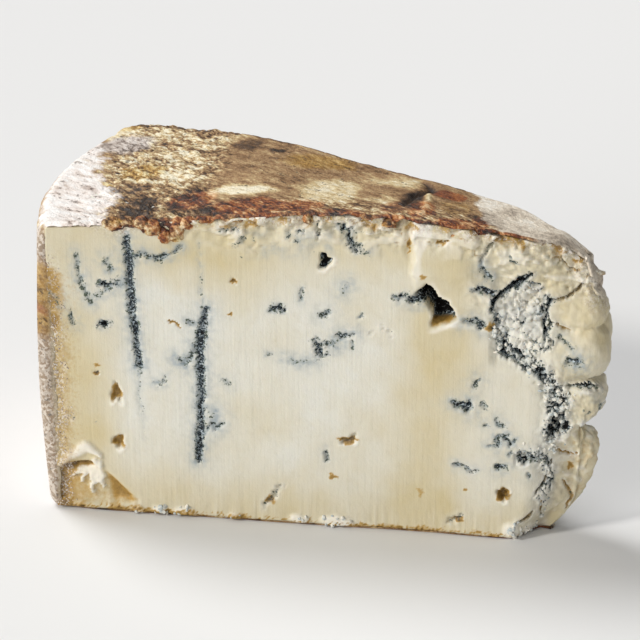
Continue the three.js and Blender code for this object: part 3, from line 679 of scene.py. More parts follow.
def warm_cream(x, z):
    """Warm near the rind and the foot, cool where the mould has been at work."""
    below_top = top_height(x, 0) - z
    warm = 0.25 + 0.85 * smooth(-50, -72, x) * smooth(74, 54, z) + 0.5 * smooth(26, 8, below_top)
    warm += 0.55 * smooth(18, 3, z) + 0.6 * bell(x - 31, 8) * smooth(82, 66, z)
    warm += 0.35 * smooth(-48, -40, x) * smooth(-8, -24, x) * smooth(62, 74, z)
    warm -= 0.75 * bell(x + 44, 12) * bell(z - 50, 24)
    warm -= 0.35 * bell(x - 2, 16) * bell(z - 48, 14)
    warm += 0.5 * smooth(63, 69, x) * smooth(80, 74, z)
    warm += 0.3 * smooth(22, 34, x) * smooth(52, 40, x) * smooth(42, 52, z)
    # painted shade: a darker, warmer patch below the right side of the cavity
    warm += 0.6 * bell(x - 34, 6) * bell(z - 62, 6)
    return warm + 0.3 * noise(x, 3, z, 11, 97, 2)


# %% Fields of the front cut and of the back cut


def grain_of_paste(x, z):
    """Faint lumps, and the upright strokes of the knife."""
    strokes = noise(x, 7, z * 0.05, 1.1, 6, 2) * smooth(-0.3, 0.5, noise(x, 1, z, 16, 8))
    return 0.12 * noise(x, 4, z, 7, 5, 2) + 0.04 * noise(x, 7, z, 1.8, 7, 2) + 0.045 * strokes


def front_fields(x, z):
    f = blank_fields(x, z)
    f["out"] += grain_of_paste(x, z)
    tear_upper_edge(f, x, z)
    chip_lower_corner(f, x, z)
    draw_channels(f, x, z, NEEDLE_CHANNELS, FAINT_CHANNELS)
    draw_veins(f, x, z, VEINS)
    draw_cracks(f, x, z, CRACKS)
    draw_hollows(f, x, z, HOLLOWS, STAINS)
    open_cavity(f, x, z)
    crumble_tip(f, x, z)
    lay_foot(f, x, z)
    f["warm"] += warm_cream(x, z)
    f["stain_and_shade"] += 0.2 * smooth(-61, -75, x + 2 * noise(x, 20, z, 6, 111, 2)) * smooth(84, 70, z)
    seeped = (
        smooth(-72.5, -77, x + 1.6 * noise(x, 21, z, 3.5, 112, 2)) * smooth(54, 59, z) * smooth(79, 74, z)
    )
    f["stain_and_shade"] += 0.5 * seeped
    low_crust = smooth(-70, -76, x + 2 * noise(x, 22, z, 4.5, 113, 3)) * smooth(62, 52, z)
    f["stain_and_shade"] += 0.16 * low_crust
    f["out"] += 0.5 * low_crust * noise(x, 23, z, 1.6, 114, 3)
    return f


def back_fields(x, z, places):
    channels, veins, stains, cracks, hollows = places
    f = blank_fields(x, z)
    f["out"] += grain_of_paste(x, z + 300)
    draw_channels(f, x, z, channels, [])
    draw_veins(f, x, z, veins)
    draw_cracks(f, x, z, cracks)
    draw_hollows(f, x, z, hollows, stains)
    torn = smooth(12, 4, top_height(x, 30) - z)
    f["out"] += 0.6 * torn * noise(x, 2, z, 3.4, 23, 3)
    f["warm"] += 0.35 + 0.7 * smooth(-60, -76, x) + 0.5 * torn + 0.3 * noise(x, 3, z, 11, 98, 2)
    return f


# %% [markdown]
# ## The wall as one run
#
# The front cut, the broken tip and the back cut are one band of paste. A place on it is said by its
# `run` in millimetres: along the front cut, round the tip and on along the back cut. The tip broke by
# hand, so it is lumps with clefts between them. Each lump is a dome, and the surface keeps whichever
# dome stands furthest out, so that rounded lumps meet in sharp creases.

# %% The run in plan
FRONT_END = nose_centre[0]
BACK_START = FRONT_END + NOSE_RADIUS * (math.pi - back_turn)
back_start = nose_centre + NOSE_RADIUS * back_normal
back_end = far_centre + FAR_ROUND * back_normal
back_length = float(np.linalg.norm(back_end - back_start))
back_along = (back_end - back_start) / back_length
FRONT_START = corner_centre[0]
SIGHT_X, SIGHT_Z = 0.1515, 0.4503  # what lies a millimetre deeper shows this much further right and up


def wall_plan(run):
    """Plan place and outward direction of the wall."""
    run = np.asarray(run, float)
    angle = np.clip((run - FRONT_END) / NOSE_RADIUS, 0, math.pi - back_turn) - math.pi / 2
    on_front, on_back = run <= FRONT_END, run >= BACK_START
    nx = np.where(on_front, 0, np.where(on_back, back_normal[0], np.cos(angle)))
    ny = np.where(on_front, -1, np.where(on_back, back_normal[1], np.sin(angle)))
    x = np.where(on_front, run, nose_centre[0] + NOSE_RADIUS * nx)
    y = np.where(on_front, 0.5 * (run - FRONT_START) / 150, nose_centre[1] + NOSE_RADIUS * ny)
    past = np.maximum(0, run - BACK_START)
    x = np.where(on_back, back_start[0] + past * back_along[0], x)
    y = np.where(on_back, back_start[1] + past * back_along[1], y)
    return x, y, nx, ny


print("run of the wall:", FRONT_START, "to", round(BACK_START + back_length, 1), "mm")

# %% Large forms of the wall
# lumps of the tip: height and run of the middle, half height, half run, how proud
TIP_LUMPS = [
    (86, 75, 8.4, 17, 0.2), (71.6, 76.5, 5.9, 13, 0.9), (58.6, 76.5, 8.0, 12, 1.1),
    (44.2, 76.5, 5.0, 8.5, 0.2), (33.0, 73, 4.6, 7, 0.9), (24.6, 77, 6.0, 8, -0.1), (13, 72, 8, 9, 0.4),
    (84, 92, 10, 12, 0.2), (64, 93, 12, 11, 0.6), (44, 94, 9, 12, 0.4), (22, 93, 14, 12, 0.4),
]


def tip_form(run, z):
    """How far the tip stands out (+) or lies back (-) of its round plan."""
    height = z / RIM_HEIGHT
    draw = np.where(
        height > 0.62,
        TIP_SLACK * (np.maximum(height - 0.62, 0) / 0.38) ** 2,
        TIP_FOOT * (np.maximum(0.62 - height, 0) / 0.62) ** 2.4,
    )
    wz = z + 1.5 * noise(run, 1, z, 5.5, 101, 3)
    wr = run + 2.0 * noise(run, 5, z, 7, 102, 3)
    proud = np.full(np.shape(z), -1.9)
    for mid_z, mid_run, half_z, half_run, stand in TIP_LUMPS:
        d = ((wz - mid_z) / half_z) ** 2 + ((wr - mid_run) / half_run) ** 2
        proud = np.maximum(proud, (stand + 2.6) * np.sqrt(np.maximum(0, 1.04 - d)) - 2.6)
    broken = noise(run, 11, z, 5.5, 103, 2) - 0.3 * smooth(0.6, 1, creases(run, 11, z, 6.5, 104))
    proud = proud + mix(0.4, 0.8, smooth(54, 46, z)) * broken
    cleft = 2.6 * bell(wz - 49.6, 0.9) * smooth(66, 71, run)
    notch = 7.6 * bell(wz - 34.4, 2.0) * smooth(68.5, 75, run) * smooth(99, 92, run)
    turned_away = 4.5 * smooth(57, 71, run) * smooth(86, 75, run) * smooth(38, 30, z)
    return proud - draw - cleft - notch - turned_away


def front_form(x, z):
    """Waves that the knife left, and the flake right of x = 26 that stands proud."""
    edge = (
        np.interp(z, [77, 80, 86, 90, 96], [26.6, 25.3, 25.7, 25.1, 25.3])
        + 0.7 * noise(0 * x, 1, z, 2.2, 31, 2)
    )
    flake = smooth(edge - 0.6, edge + 0.7, x) * smooth(74, 82, z) * (1 - smooth(36, 50, x))
    island = smooth(46.5, 49.5, x) * smooth(64.5, 61.5, x) * smooth(52, 57, z) * smooth(84, 79, z)
    return 0.32 * noise(x, 0, z, 26, 3) + 1.45 * flake - 1.5 * island


def top_round(run):
    nose = smooth(FRONT_END, FRONT_END + 6, run) * smooth(BACK_START + 2, BACK_START - 5, run)
    return mix(mix(1.2, 1.6, smooth(80, 90, run)), 6.0, nose)


def wall_form(run, z):
    """The wall's large forms, as a shift along its outward direction."""
    x, y, _, _ = wall_plan(run)
    tip = tip_form(run, z)
    to_tip = 0.75 * smooth(58, 72, run) + 0.25 * smooth(72, 80, run)
    front = mix(front_form(x, z), tip, to_tip)
    back = mix(0.5 * noise(x, y, z, 26, 4) + 0.2 * noise(x, y, z, 9, 5), tip, smooth(50, 74, x))
    return np.where(run > BACK_START, back, front)


def wall_xy(run, z, out, inset=0.0):
    """Plan place of the wall at a given shift out; the tip never closes past its own middle."""
    x, y, nx, ny = wall_plan(run)
    drawn_back = TIP_FOOT_BACK * np.clip(1 - z / 15, 0, 1) ** 1.8 * smooth(40, 74, x)
    out = out - inset
    reach = NOSE_RADIUS + out
    closed = 0.5 * (reach + np.sqrt(reach**2 + 4.0)) - NOSE_RADIUS - 0.12
    near_nose = smooth(FRONT_END - 8, FRONT_END, run) * smooth(BACK_START + 8, BACK_START, run)
    out = mix(out, closed, near_nose)
    return x + nx * out - drawn_back, y + ny * out


at_mid = wall_xy(84.0, 57.0, wall_form(np.array([84.0]), np.array([57.0])))
print("tip at mid height reaches x =", np.round(at_mid[0], 1))

# %% [markdown]
# ## The paste
#
# The paste is one closed body: a wall of fine columns and rows on the front cut, where the eye rests,
# coarser columns on the back cut, and plain caps that the rind covers. The wall is moved out or in by
# the fields above. A grid in code is used because every vein has its place, which a scatter would not
# give, and because the same fields then colour it.

# %% Veins for the back cut, laid out at random with the front's habits


def random_places(seed):
    rng = np.random.default_rng(seed)
    channels = []
    for x in (-46, -12, 22):
        high, low = rng.uniform(70, 86), rng.uniform(20, 48)
        zs = np.linspace(high, low, 5)
        channels.append([(x + rng.normal(0, 0.5) + 0.03 * (z - 50), z) for z in zs])
    veins, stains, cracks, hollows = [], [], [], []
    for _ in range(44):
        x, z = rng.uniform(-70, 66), rng.uniform(8, 84)
        angle, length = rng.uniform(-0.9, 0.9), rng.uniform(1.5, 6)
        bend = rng.normal(0, 1.2)
        dx, dz = length * math.cos(angle), length * math.sin(angle)
        path = [(x, z), (x + 0.5 * dx + bend * 0.5, z + 0.5 * dz + bend), (x + dx, z + dz)]
        veins.append((path, rng.uniform(1.0, 2.2), rng.uniform(0.2, 0.9), rng.uniform(0.3, 0.9)))
    for _ in range(14):
        x, z = rng.uniform(-70, 60), rng.uniform(6, 80)
        half = rng.uniform(0.6, 1.8)
        stains.append((x, z, half * 1.3, half * 1.5, rng.uniform(0.6, 1)))
        hollows.append((x, z, half, half * 1.2, half, 0.2))
    for _ in range(12):
        x, z = rng.uniform(-60, 70), rng.uniform(30, 86)
        path = [(x, z)]
        for _ in range(3):
            path.append((path[-1][0] + rng.uniform(0.8, 2.4), path[-1][1] + rng.normal(0, 1.4)))
        cracks.append((path, rng.uniform(0.6, 1.4), rng.uniform(0.6, 1.8), rng.uniform(0.2, 1)))
    return channels, veins, stains, cracks, hollows


back_places = random_places(5)
print("back cut:", [len(group) for group in back_places])

# %% The paste as a grid of columns and rows
# millimetres between points
FRONT_GRAIN, TIP_GRAIN, BACK_GRAIN, SIDE_GRAIN, ROW_GRAIN = 0.54, 0.38, 1.6, 4.2, 0.47
TIP_FROM = 44.0
UNDER_RIND, OVER_FOOT, INSIDE_SIDE = 0.9, 0.8, 1.5  # how far inside the rind the paste ends
CAP_RINGS = 3


def offset_inwards(points, distance):
    """A line in plan moved towards the wedge's middle by the given distance."""
    tangent = np.gradient(points, axis=0)
    tangent /= np.linalg.norm(tangent, axis=1)[:, None]
    normal = np.stack([-tangent[:, 1], tangent[:, 0]], 1)
    return points - normal * distance


front_runs = np.arange(FRONT_START, TIP_FROM, FRONT_GRAIN)
front_runs = np.concatenate([front_runs, np.arange(TIP_FROM, BACK_START, TIP_GRAIN)])
back_runs = np.arange(BACK_START, BACK_START + back_length, BACK_GRAIN)
wall_runs = np.concatenate([front_runs, back_runs])
row_count = int(RIM_HEIGHT / ROW_GRAIN)
rows = np.linspace(0, 1, row_count)[:, None]
plan_x, plan_y, _, _ = wall_plan(wall_runs)
wall_top = top_height(plan_x, plan_y)
wall_low = mix(OVER_FOOT, 0.0, smooth(44, 56, plan_x))
wall_z = wall_low + rows * (wall_top - UNDER_RIND - wall_low)
wall_run = np.broadcast_to(wall_runs, wall_z.shape)

form = wall_form(wall_run, wall_z)
form_x, form_y = wall_xy(wall_run, wall_z, form)
seen_x = form_x + SIGHT_X * form_y
seen_z = wall_z + SIGHT_Z * form_y
is_front = wall_runs < BACK_START
front = front_fields(seen_x[:, is_front], seen_z[:, is_front])
along_back = FRONT_END - (wall_run[:, ~is_front] - BACK_START)
back = back_fields(along_back, wall_z[:, ~is_front], back_places)
paste_fields = {name: np.concatenate([front[name], back[name]], 1) for name in front}
crumbling = (
    smooth(62, 68, wall_run) * smooth(BACK_START + 14, BACK_START, wall_run)
    * mix(0.35, 1, smooth(56, 46, wall_z))
)
crumbs_of_tip = (
    noise(form_x, form_y, wall_z, 4.4, 116, 3) + 0.55 * noise(form_x, form_y, wall_z, 1.5, 118, 3)
)
paste_fields["out"] += 0.95 * crumbling * crumbs_of_tip
paste_fields["fresh_and_highlight"] += 0.5 * crumbling * smooth(0.0, 0.5, crumbs_of_tip)
near_seam = smooth(0, 7, np.abs(wall_run - BACK_START))
paste_fields["out"] *= near_seam
paste_fields["mould"] *= near_seam


def edge_inset(z, top, top_r, foot_r):
    """How far the wall turns in under its upper edge and above its foot."""
    up = np.clip((z - top + top_r) / top_r, 0, 0.995)
    down = np.clip((foot_r - z) / foot_r, 0, 0.995)
    return top_r * (1 - np.sqrt(1 - up**2)) + foot_r * (1 - np.sqrt(1 - down**2))


foot_round = (
    1.0
    + 3.0 * smooth(FRONT_END, FRONT_END + 6, wall_runs) * smooth(BACK_START + 2, BACK_START - 5, wall_runs)
)
turn_in = edge_inset(wall_z, wall_top, top_round(wall_runs), foot_round)
paste_x, paste_y = wall_xy(wall_run, wall_z, form + paste_fields["out"], turn_in)

# the side of the paste stays just inside the rind
side_shares = np.linspace(1, 0, int(95 / SIDE_GRAIN))[1:-1]
side_inside = offset_inwards(side_line(np.linspace(0, 1, 200)), INSIDE_SIDE)
side_plan = even_steps(side_inside, side_shares)
side_top = top_height(side_plan[:, 0], side_plan[:, 1])
side_z = OVER_FOOT + rows * (side_top - UNDER_RIND - OVER_FOOT)
side_turn = edge_inset(side_z, side_top, 3.5, 4.0)
grid_x = np.concatenate([paste_x, side_plan[:, 0] + side_turn], 1)
grid_y = np.concatenate([paste_y, np.broadcast_to(side_plan[:, 1], side_z.shape)], 1)
grid_z = np.concatenate([wall_z, side_z], 1)
print("paste grid:", grid_x.shape, "points")

# %% From millimetres to a mesh in the frame
INSIDE_BOX = 0.02  # millimetres that stay free inside the solid's box


def to_frame(points):
    """Shifts points into the frame and keeps them inside the solid's box."""
    low = box_low_mm + [INSIDE_BOX, INSIDE_BOX, 0.0]
    high = box_high_mm - INSIDE_BOX
    return np.clip(points, low, high) * MM + shift


def grid_faces(row_total, column_total, closed):
    r = np.arange(row_total - 1)[:, None]
    c = np.arange(column_total if closed else column_total - 1)[None, :]
    a = r * column_total + c
    b = r * column_total + (c + 1) % column_total
    return np.stack([a, b, b + column_total, a + column_total], -1).reshape(-1, 4)


def make_piece(name, points, faces, fields=None):
    """A mesh object from points in millimetres; each field is a set of three shares per point."""
    mesh = bpy.data.meshes.new(name)
    mesh.from_pydata(to_frame(points).tolist(), [], [list(map(int, face)) for face in faces])
    mesh.update()
    for field, values in (fields or {}).items():
        layer = mesh.attributes.new(field, "FLOAT_COLOR", "POINT")
        packed = np.ones((len(points), 4), np.float32)
        for i, value in enumerate(values):
            packed[:, i] = np.clip(value, 0, 1)
        layer.data.foreach_set("color", packed.ravel())
    mesh.polygons.foreach_set("use_smooth", [True] * len(mesh.polygons))
    piece = bpy.data.objects.new(name, mesh)
    bpy.context.collection.objects.link(piece)
    triangles = sum(len(face) - 2 for face in faces)
    print(name, "has", triangles, "triangles")
    return piece


def cap_rings(edge, centre, count, height):
    """Rings of points from an edge to its middle; height gives z for x, y."""
    rings = []
    for t in np.linspace(0, 1, count + 1)[1:-1]:
        ring = mix(edge, centre, t)
        ring[:, 2] = height(ring[:, 0], ring[:, 1])
        rings.append(ring)
    return rings


columns = grid_x.shape[1]
wall_points = np.stack([grid_x, grid_y, grid_z], -1)
cap_middle = np.array([-18.0, 29.0, 0])
upper = cap_rings(wall_points[-1], cap_middle, CAP_RINGS, lambda x, y: top_height(x, y) - UNDER_RIND)
lower = cap_rings(wall_points[0], cap_middle, CAP_RINGS, lambda x, y: OVER_FOOT * smooth(56, 44, x))
stack = np.concatenate([np.array(lower[::-1]), wall_points, np.array(upper)])
points = stack.reshape(-1, 3)
faces = list(grid_faces(len(stack), columns, True))
middle_low = [*cap_middle[:2], OVER_FOOT]
middle_high = [*cap_middle[:2], top_height(*cap_middle[:2]) - UNDER_RIND]
points = np.concatenate([points, [middle_low, middle_high]])
last = (len(stack) - 1) * columns
for c in range(columns):
    n = (c + 1) % columns
    faces.append([n, c, len(points) - 2])
    faces.append([last + c, last + n, len(points) - 1])


def over_grid(values):
    """Fields of the wall, with nothing on the side and the caps."""
    full = np.zeros(stack.shape[:2])
    full[len(lower) : len(lower) + row_count, : values.shape[1]] = values
    return np.append(full.ravel(), [0, 0])


near_rind = smooth(5.5, 0.5, wall_top - wall_z + 1.4 * noise(seen_x, 2, seen_z, 2.5, 99, 2))
veining = [over_grid(paste_fields[name]) for name in ("mould", "haze", "stain_and_shade")]
near_side = smooth(-71.5, -77, seen_x + 2.2 * noise(seen_x, 2, seen_z, 5, 100, 3))
near_side = (
    near_side * mix(smooth(84, 78, wall_z), 1, smooth(60, 54, wall_z))
    * mix(1, 0.35, smooth(56, 62, wall_z))
)
near_rind = np.maximum(near_rind * smooth(-70, -55, seen_x), near_side * (wall_run < BACK_START))
speckled = (
    smooth(15, 5, wall_top - wall_z + 5 * noise(seen_x, 6, seen_z, 5, 105, 2)) * smooth(66, 73, wall_run)
)
near_rind = np.maximum(near_rind, 0.75 * speckled * smooth(BACK_START + 12, BACK_START, wall_run))
body = [over_grid(value) for value in (paste_fields["fresh_and_highlight"], paste_fields["warm"], near_rind)]
scatter = [over_grid(value) for value in (paste_fields["loose"], paste_fields["white"], near_side)]
paste = make_piece(
    "blue_cheese_paste", points, faces, {"veining": veining, "body": body, "scatter": scatter},
)

# %% [markdown]
# ## The brushed rind
#
# The rind is a thin, tough shell round the top, the outer side and the foot, open at both cuts. It is
# one closed mesh: rings of points that run across the sheet, round its cut edge, back along its inside
# and round the other cut edge. The rings follow the wedge from the flap over the tip, along the top,
# down the outer side and back under the foot. A shell is used, not a colour on the paste, because at
# the cut the rind shows its thickness, overhangs and drips.

# %% Stations of the rind
SHEET, RIM, LINING = 118, 9, 16  # points across the sheet, on a cut edge, inside
SIDE_ROUND, FOOT_ROUND = 3.5, 3.2
FLAP_STEPS, TOP_STEPS, SHOULDER_STEPS, SIDE_STEPS, FOOT_STEPS = 16, 205, 7, 100, 44
across = np.linspace(0, 1, SHEET)


def side_wall(shares, z, inset=0.0):
    """The outer side of the round: an arc in plan, swollen a little at mid height."""
    plan = side_line(np.linspace(0, 1, 400))
    body = plan[np.hypot(plan[:, 0] - RIND_X, plan[:, 1] - CORNER_RADIUS).argmin() :]
    p = even_steps(body, shares)
    q = even_steps(offset_inwards(body, 1.0), shares)
    out = SIDE_SWELL * np.sin(math.pi * np.clip(z / RIM_HEIGHT, 0, 1)) - inset
    return p + (p - q) * np.reshape(out, (-1, 1))


def lift(plan, z):
    return np.concatenate([plan, np.broadcast_to(z, plan.shape[:1])[:, None]], 1)


def nose_ring(z_below, inset):
    """A line round the tip, a given distance below the top."""
    run = mix(FRONT_END, BACK_START, across)
    x, y, _, _ = wall_plan(run)
    z = top_height(x, y) - z_below
    x, y = wall_xy(run, z, wall_form(run, z), inset)
    return np.stack([x, y, z], 1)


def cut_edge(run, z, inset):
    """Plan places on a cut, drawn in by the inset."""
    return np.stack(wall_xy(run, z, wall_form(run, z), inset), -1)


def top_sheet():
    """A patch stretched between the two cuts, the shoulder and the tip."""
    p = np.linspace(1, 0, TOP_STEPS)
    nose_r = 0.94 * top_round(mix(FRONT_END, BACK_START, across))
    tip = nose_ring(0.0, nose_r)[:, :2]
    shoulder = side_wall(across, np.full(SHEET, RIM_HEIGHT), SIDE_ROUND)
    gap_front = mix(1.1, shoulder[0, 1], smooth(0.05, 0, p))
    gap_back = mix(1.5, SIDE_ROUND, smooth(0.07, 0, p))
    x_front = mix(shoulder[0, 0], FRONT_END, p)
    front = cut_edge(x_front, top_height(x_front, 0) - 1.2, gap_front)
    run_back = mix(BACK_START + back_length, BACK_START, p)
    bx, by, _, _ = wall_plan(run_back)
    back = cut_edge(run_back, top_height(bx, by) - 1.6, gap_back)
    front += smooth(0.06, 0, 1 - p)[:, None] * (tip[0] - front[0])
    back += smooth(0.06, 0, 1 - p)[:, None] * (tip[-1] - back[0])
    front += smooth(0.06, 0, p)[:, None] * (shoulder[0] - front[-1])
    back += smooth(0.06, 0, p)[:, None] * (shoulder[-1] - back[-1])
    s, q = across[None, :, None], p[:, None, None]
    ruled = mix(front[:, None], back[:, None], s)
    ends = mix(shoulder[None], tip[None], q)
    corners = mix(mix(shoulder[0], tip[0], q), mix(shoulder[-1], tip[-1], q), s)
    plan = ruled + ends - corners
    z = top_height(plan[..., 0], plan[..., 1])
    return np.concatenate([plan, z[..., None]], -1), gap_front, gap_back


top_part, gap_front, gap_back = top_sheet()

flap = []
flap_reach = 0.8 + 4.6 * np.sin(math.pi * across) ** 1.2 + 1.1 * noise(across * 20, 3, 0, 3.5, 141, 3)
sunk_ends = smooth(0.16, 0.0, across) + smooth(0.84, 1.0, across)
nose_round = top_round(mix(FRONT_END, BACK_START, across))
for t in np.linspace(0, 1, FLAP_STEPS + 1)[:-1]:
    if t < 0.45:
        below, inset = nose_round + flap_reach * (1 - t / 0.45), 0 * across
    else:
        turn = (t - 0.45) / 0.55 * math.pi / 2
        below, inset = nose_round * (1 - math.sin(turn)), nose_round * (1 - math.cos(turn)) * 0.94
    sink = 1.2 * max(0, 1 - t / 0.3) + 1.5 * sunk_ends * (1 - t) ** 0.7
    flap.append(nose_ring(below, inset - 0.3 + sink))
flap = np.array(flap)

side_part = []
for turn in np.linspace(0, math.pi / 2, SHOULDER_STEPS + 1)[1:-1]:
    plan = side_wall(across, np.full(SHEET, RIM_HEIGHT), SIDE_ROUND * (1 - math.sin(turn)))
    side_part.append(lift(plan, top_part[-1, :, 2] - SIDE_ROUND * (1 - math.cos(turn))))
for t in np.linspace(0, 1, SIDE_STEPS):
    z = mix(top_part[-1, :, 2] - SIDE_ROUND, FOOT_ROUND, t)
    side_part.append(lift(side_wall(across, z), z))
for turn in np.linspace(0, math.pi / 2, 6)[1:]:
    plan = side_wall(across, 0 * across, FOOT_ROUND * (1 - math.cos(turn)))
    side_part.append(lift(plan, FOOT_ROUND * (1 - math.sin(turn))))
side_part = np.array(side_part)

foot_part = []
for t in np.linspace(0, 1, FOOT_STEPS + 1)[1:]:
    x_front = mix(side_part[-1, 0, 0], FRONT_END, t)
    run_back = mix(BACK_START + back_length, BACK_START, t)
    inset_front = mix(side_part[-1, 0, 1], 1.0, smooth(0, 0.06, t))
    inset_back = mix(FOOT_ROUND, 1.5, smooth(0, 0.08, t))
    front = cut_edge(np.array([x_front]), np.array([1.0]), inset_front)[0]
    back = cut_edge(np.array([run_back]), np.array([1.5]), inset_back)[0]
    bow = side_part[-1, :, :2] - mix(side_part[-1, 0, :2], side_part[-1, -1, :2], across[:, None])
    plan = mix(front, back, across[:, None]) + bow * (1 - t)
    foot_part.append(lift(plan, 0.0))
foot_part = np.array(foot_part)
sheet = np.concatenate([flap, top_part, side_part, foot_part])
print("rind sheet:", sheet.shape[:2], "points")

# %% Zones of the rind
CREVICE = [(25, 35), (28, 28), (24, 22), (22, 12)]
# where the white bloom ends: x for each y
BLOOM_ENDS = ([0, 9, 16, 22, 30, 50, 58, 64, 80], [-61, -60, -60.5, -64, -70.5, -70, -76, -79, -80])
# patches of colour on top: centre x, y, half width, half depth, strength
CREAM_PATCHES = [
    (-46, 36, 8, 8, 0.95), (-50, 49, 10, 6, 0.8), (-56, 66, 10, 7, 0.7), (-72, 71, 5, 8, 0.8),
    (-40, 58, 8, 9, 0.45), (-25, 19.5, 11, 4.5, 1.0), (-1, 21, 8.5, 12, 0.7), (-46.5, 12, 2.2, 9, 0.8),
    (-63, 40, 4, 8, 0.6), (18, 34, 10, 6, 0.55), (14, 14, 5, 5, 0.35),
]
DARK_PATCHES = [
    (-52, 8, 7, 10, 1.0), (-60, 25.5, 7, 3.4, 0.75), (-68, 27, 4, 3, 0.6), (-64, 53, 8, 4, 0.55),
    (-46, 69, 6, 3, 0.8), (-38, 66, 3, 4, 0.9), (-30, 55, 6, 6, 0.6), (-40, 15, 5, 7, 0.65),
    (-33, 3, 8, 4, 0.85), (-16, 4, 3, 8, 0.6), (22.5, 18, 3, 7, 0.9), (-20, 51, 2, 2, 0.8),
]
RED_PATCHES = [
    (-38, 13, 8, 9, 0.8), (-20, 6, 14, 8, 1.0), (-6, 6, 6, 8, 0.85), (4, 1, 10, 4, 0.7),
    (20, 8, 5, 8, 0.6), (27, 9, 4, 9, 0.95), (33, 25, 5, 5, 0.9), (38, 1, 8, 4, 0.85), (44, 5, 3, 6, 0.7),
    (56, 0, 7, 1.6, 0.9),
]
GOLD_PATCHES = [
    (-57, 37, 8, 6.5, 1.0), (-70, 75, 4, 4, 1.0), (-68, 28.5, 4, 3, 0.9), (-7, 44, 13, 7, 0.8),
    (36, 14, 6, 8, 0.5),
]
MAUVE_PATCHES = [(-68, 60, 10, 9, 1.0), (-74, 4, 14, 7, 0.8), (-60, 24, 7, 4, 0.5), (74, 8, 6, 12, 0.7)]
stations = len(sheet)
is_top = np.zeros(stations)
is_top[: len(flap) + len(top_part)] = 1
first_side = len(flap) + len(top_part)
first_foot = first_side + len(side_part)
in_side = smooth(first_side - 1, first_side + 6, np.arange(stations))
in_foot = smooth(first_foot - 5, first_foot, np.arange(stations))


def sheet_normals(p):
    du = np.gradient(p, axis=0)
    dv = np.gradient(p, axis=1)
    n = np.cross(dv, du)
    for _ in range(2):
        n[1:-1] = (n[:-2] + 2 * n[1:-1] + n[2:]) / 4
    return n / np.maximum(np.linalg.norm(n, axis=2, keepdims=True), 1e-9)


normals = sheet_normals(sheet)
if normals[len(flap) + 60, SHEET // 2, 2] < 0:
    normals = -normals
X, Y, Z = sheet[..., 0], sheet[..., 1], sheet[..., 2]


def patches(x, y, places, seed):
    """The strongest of several oval patches, each with a wandering edge."""
    wx, wy = ragged(x, y, 6, 1.8, seed)
    strongest = np.zeros(x.shape)
    for cx, cy, half_x, half_y, much in places:
        d = np.hypot((wx - cx) / half_x, (wy - cy) / half_y)
        strongest = np.maximum(strongest, much * smooth(1.3, 0.5, d))
    return strongest


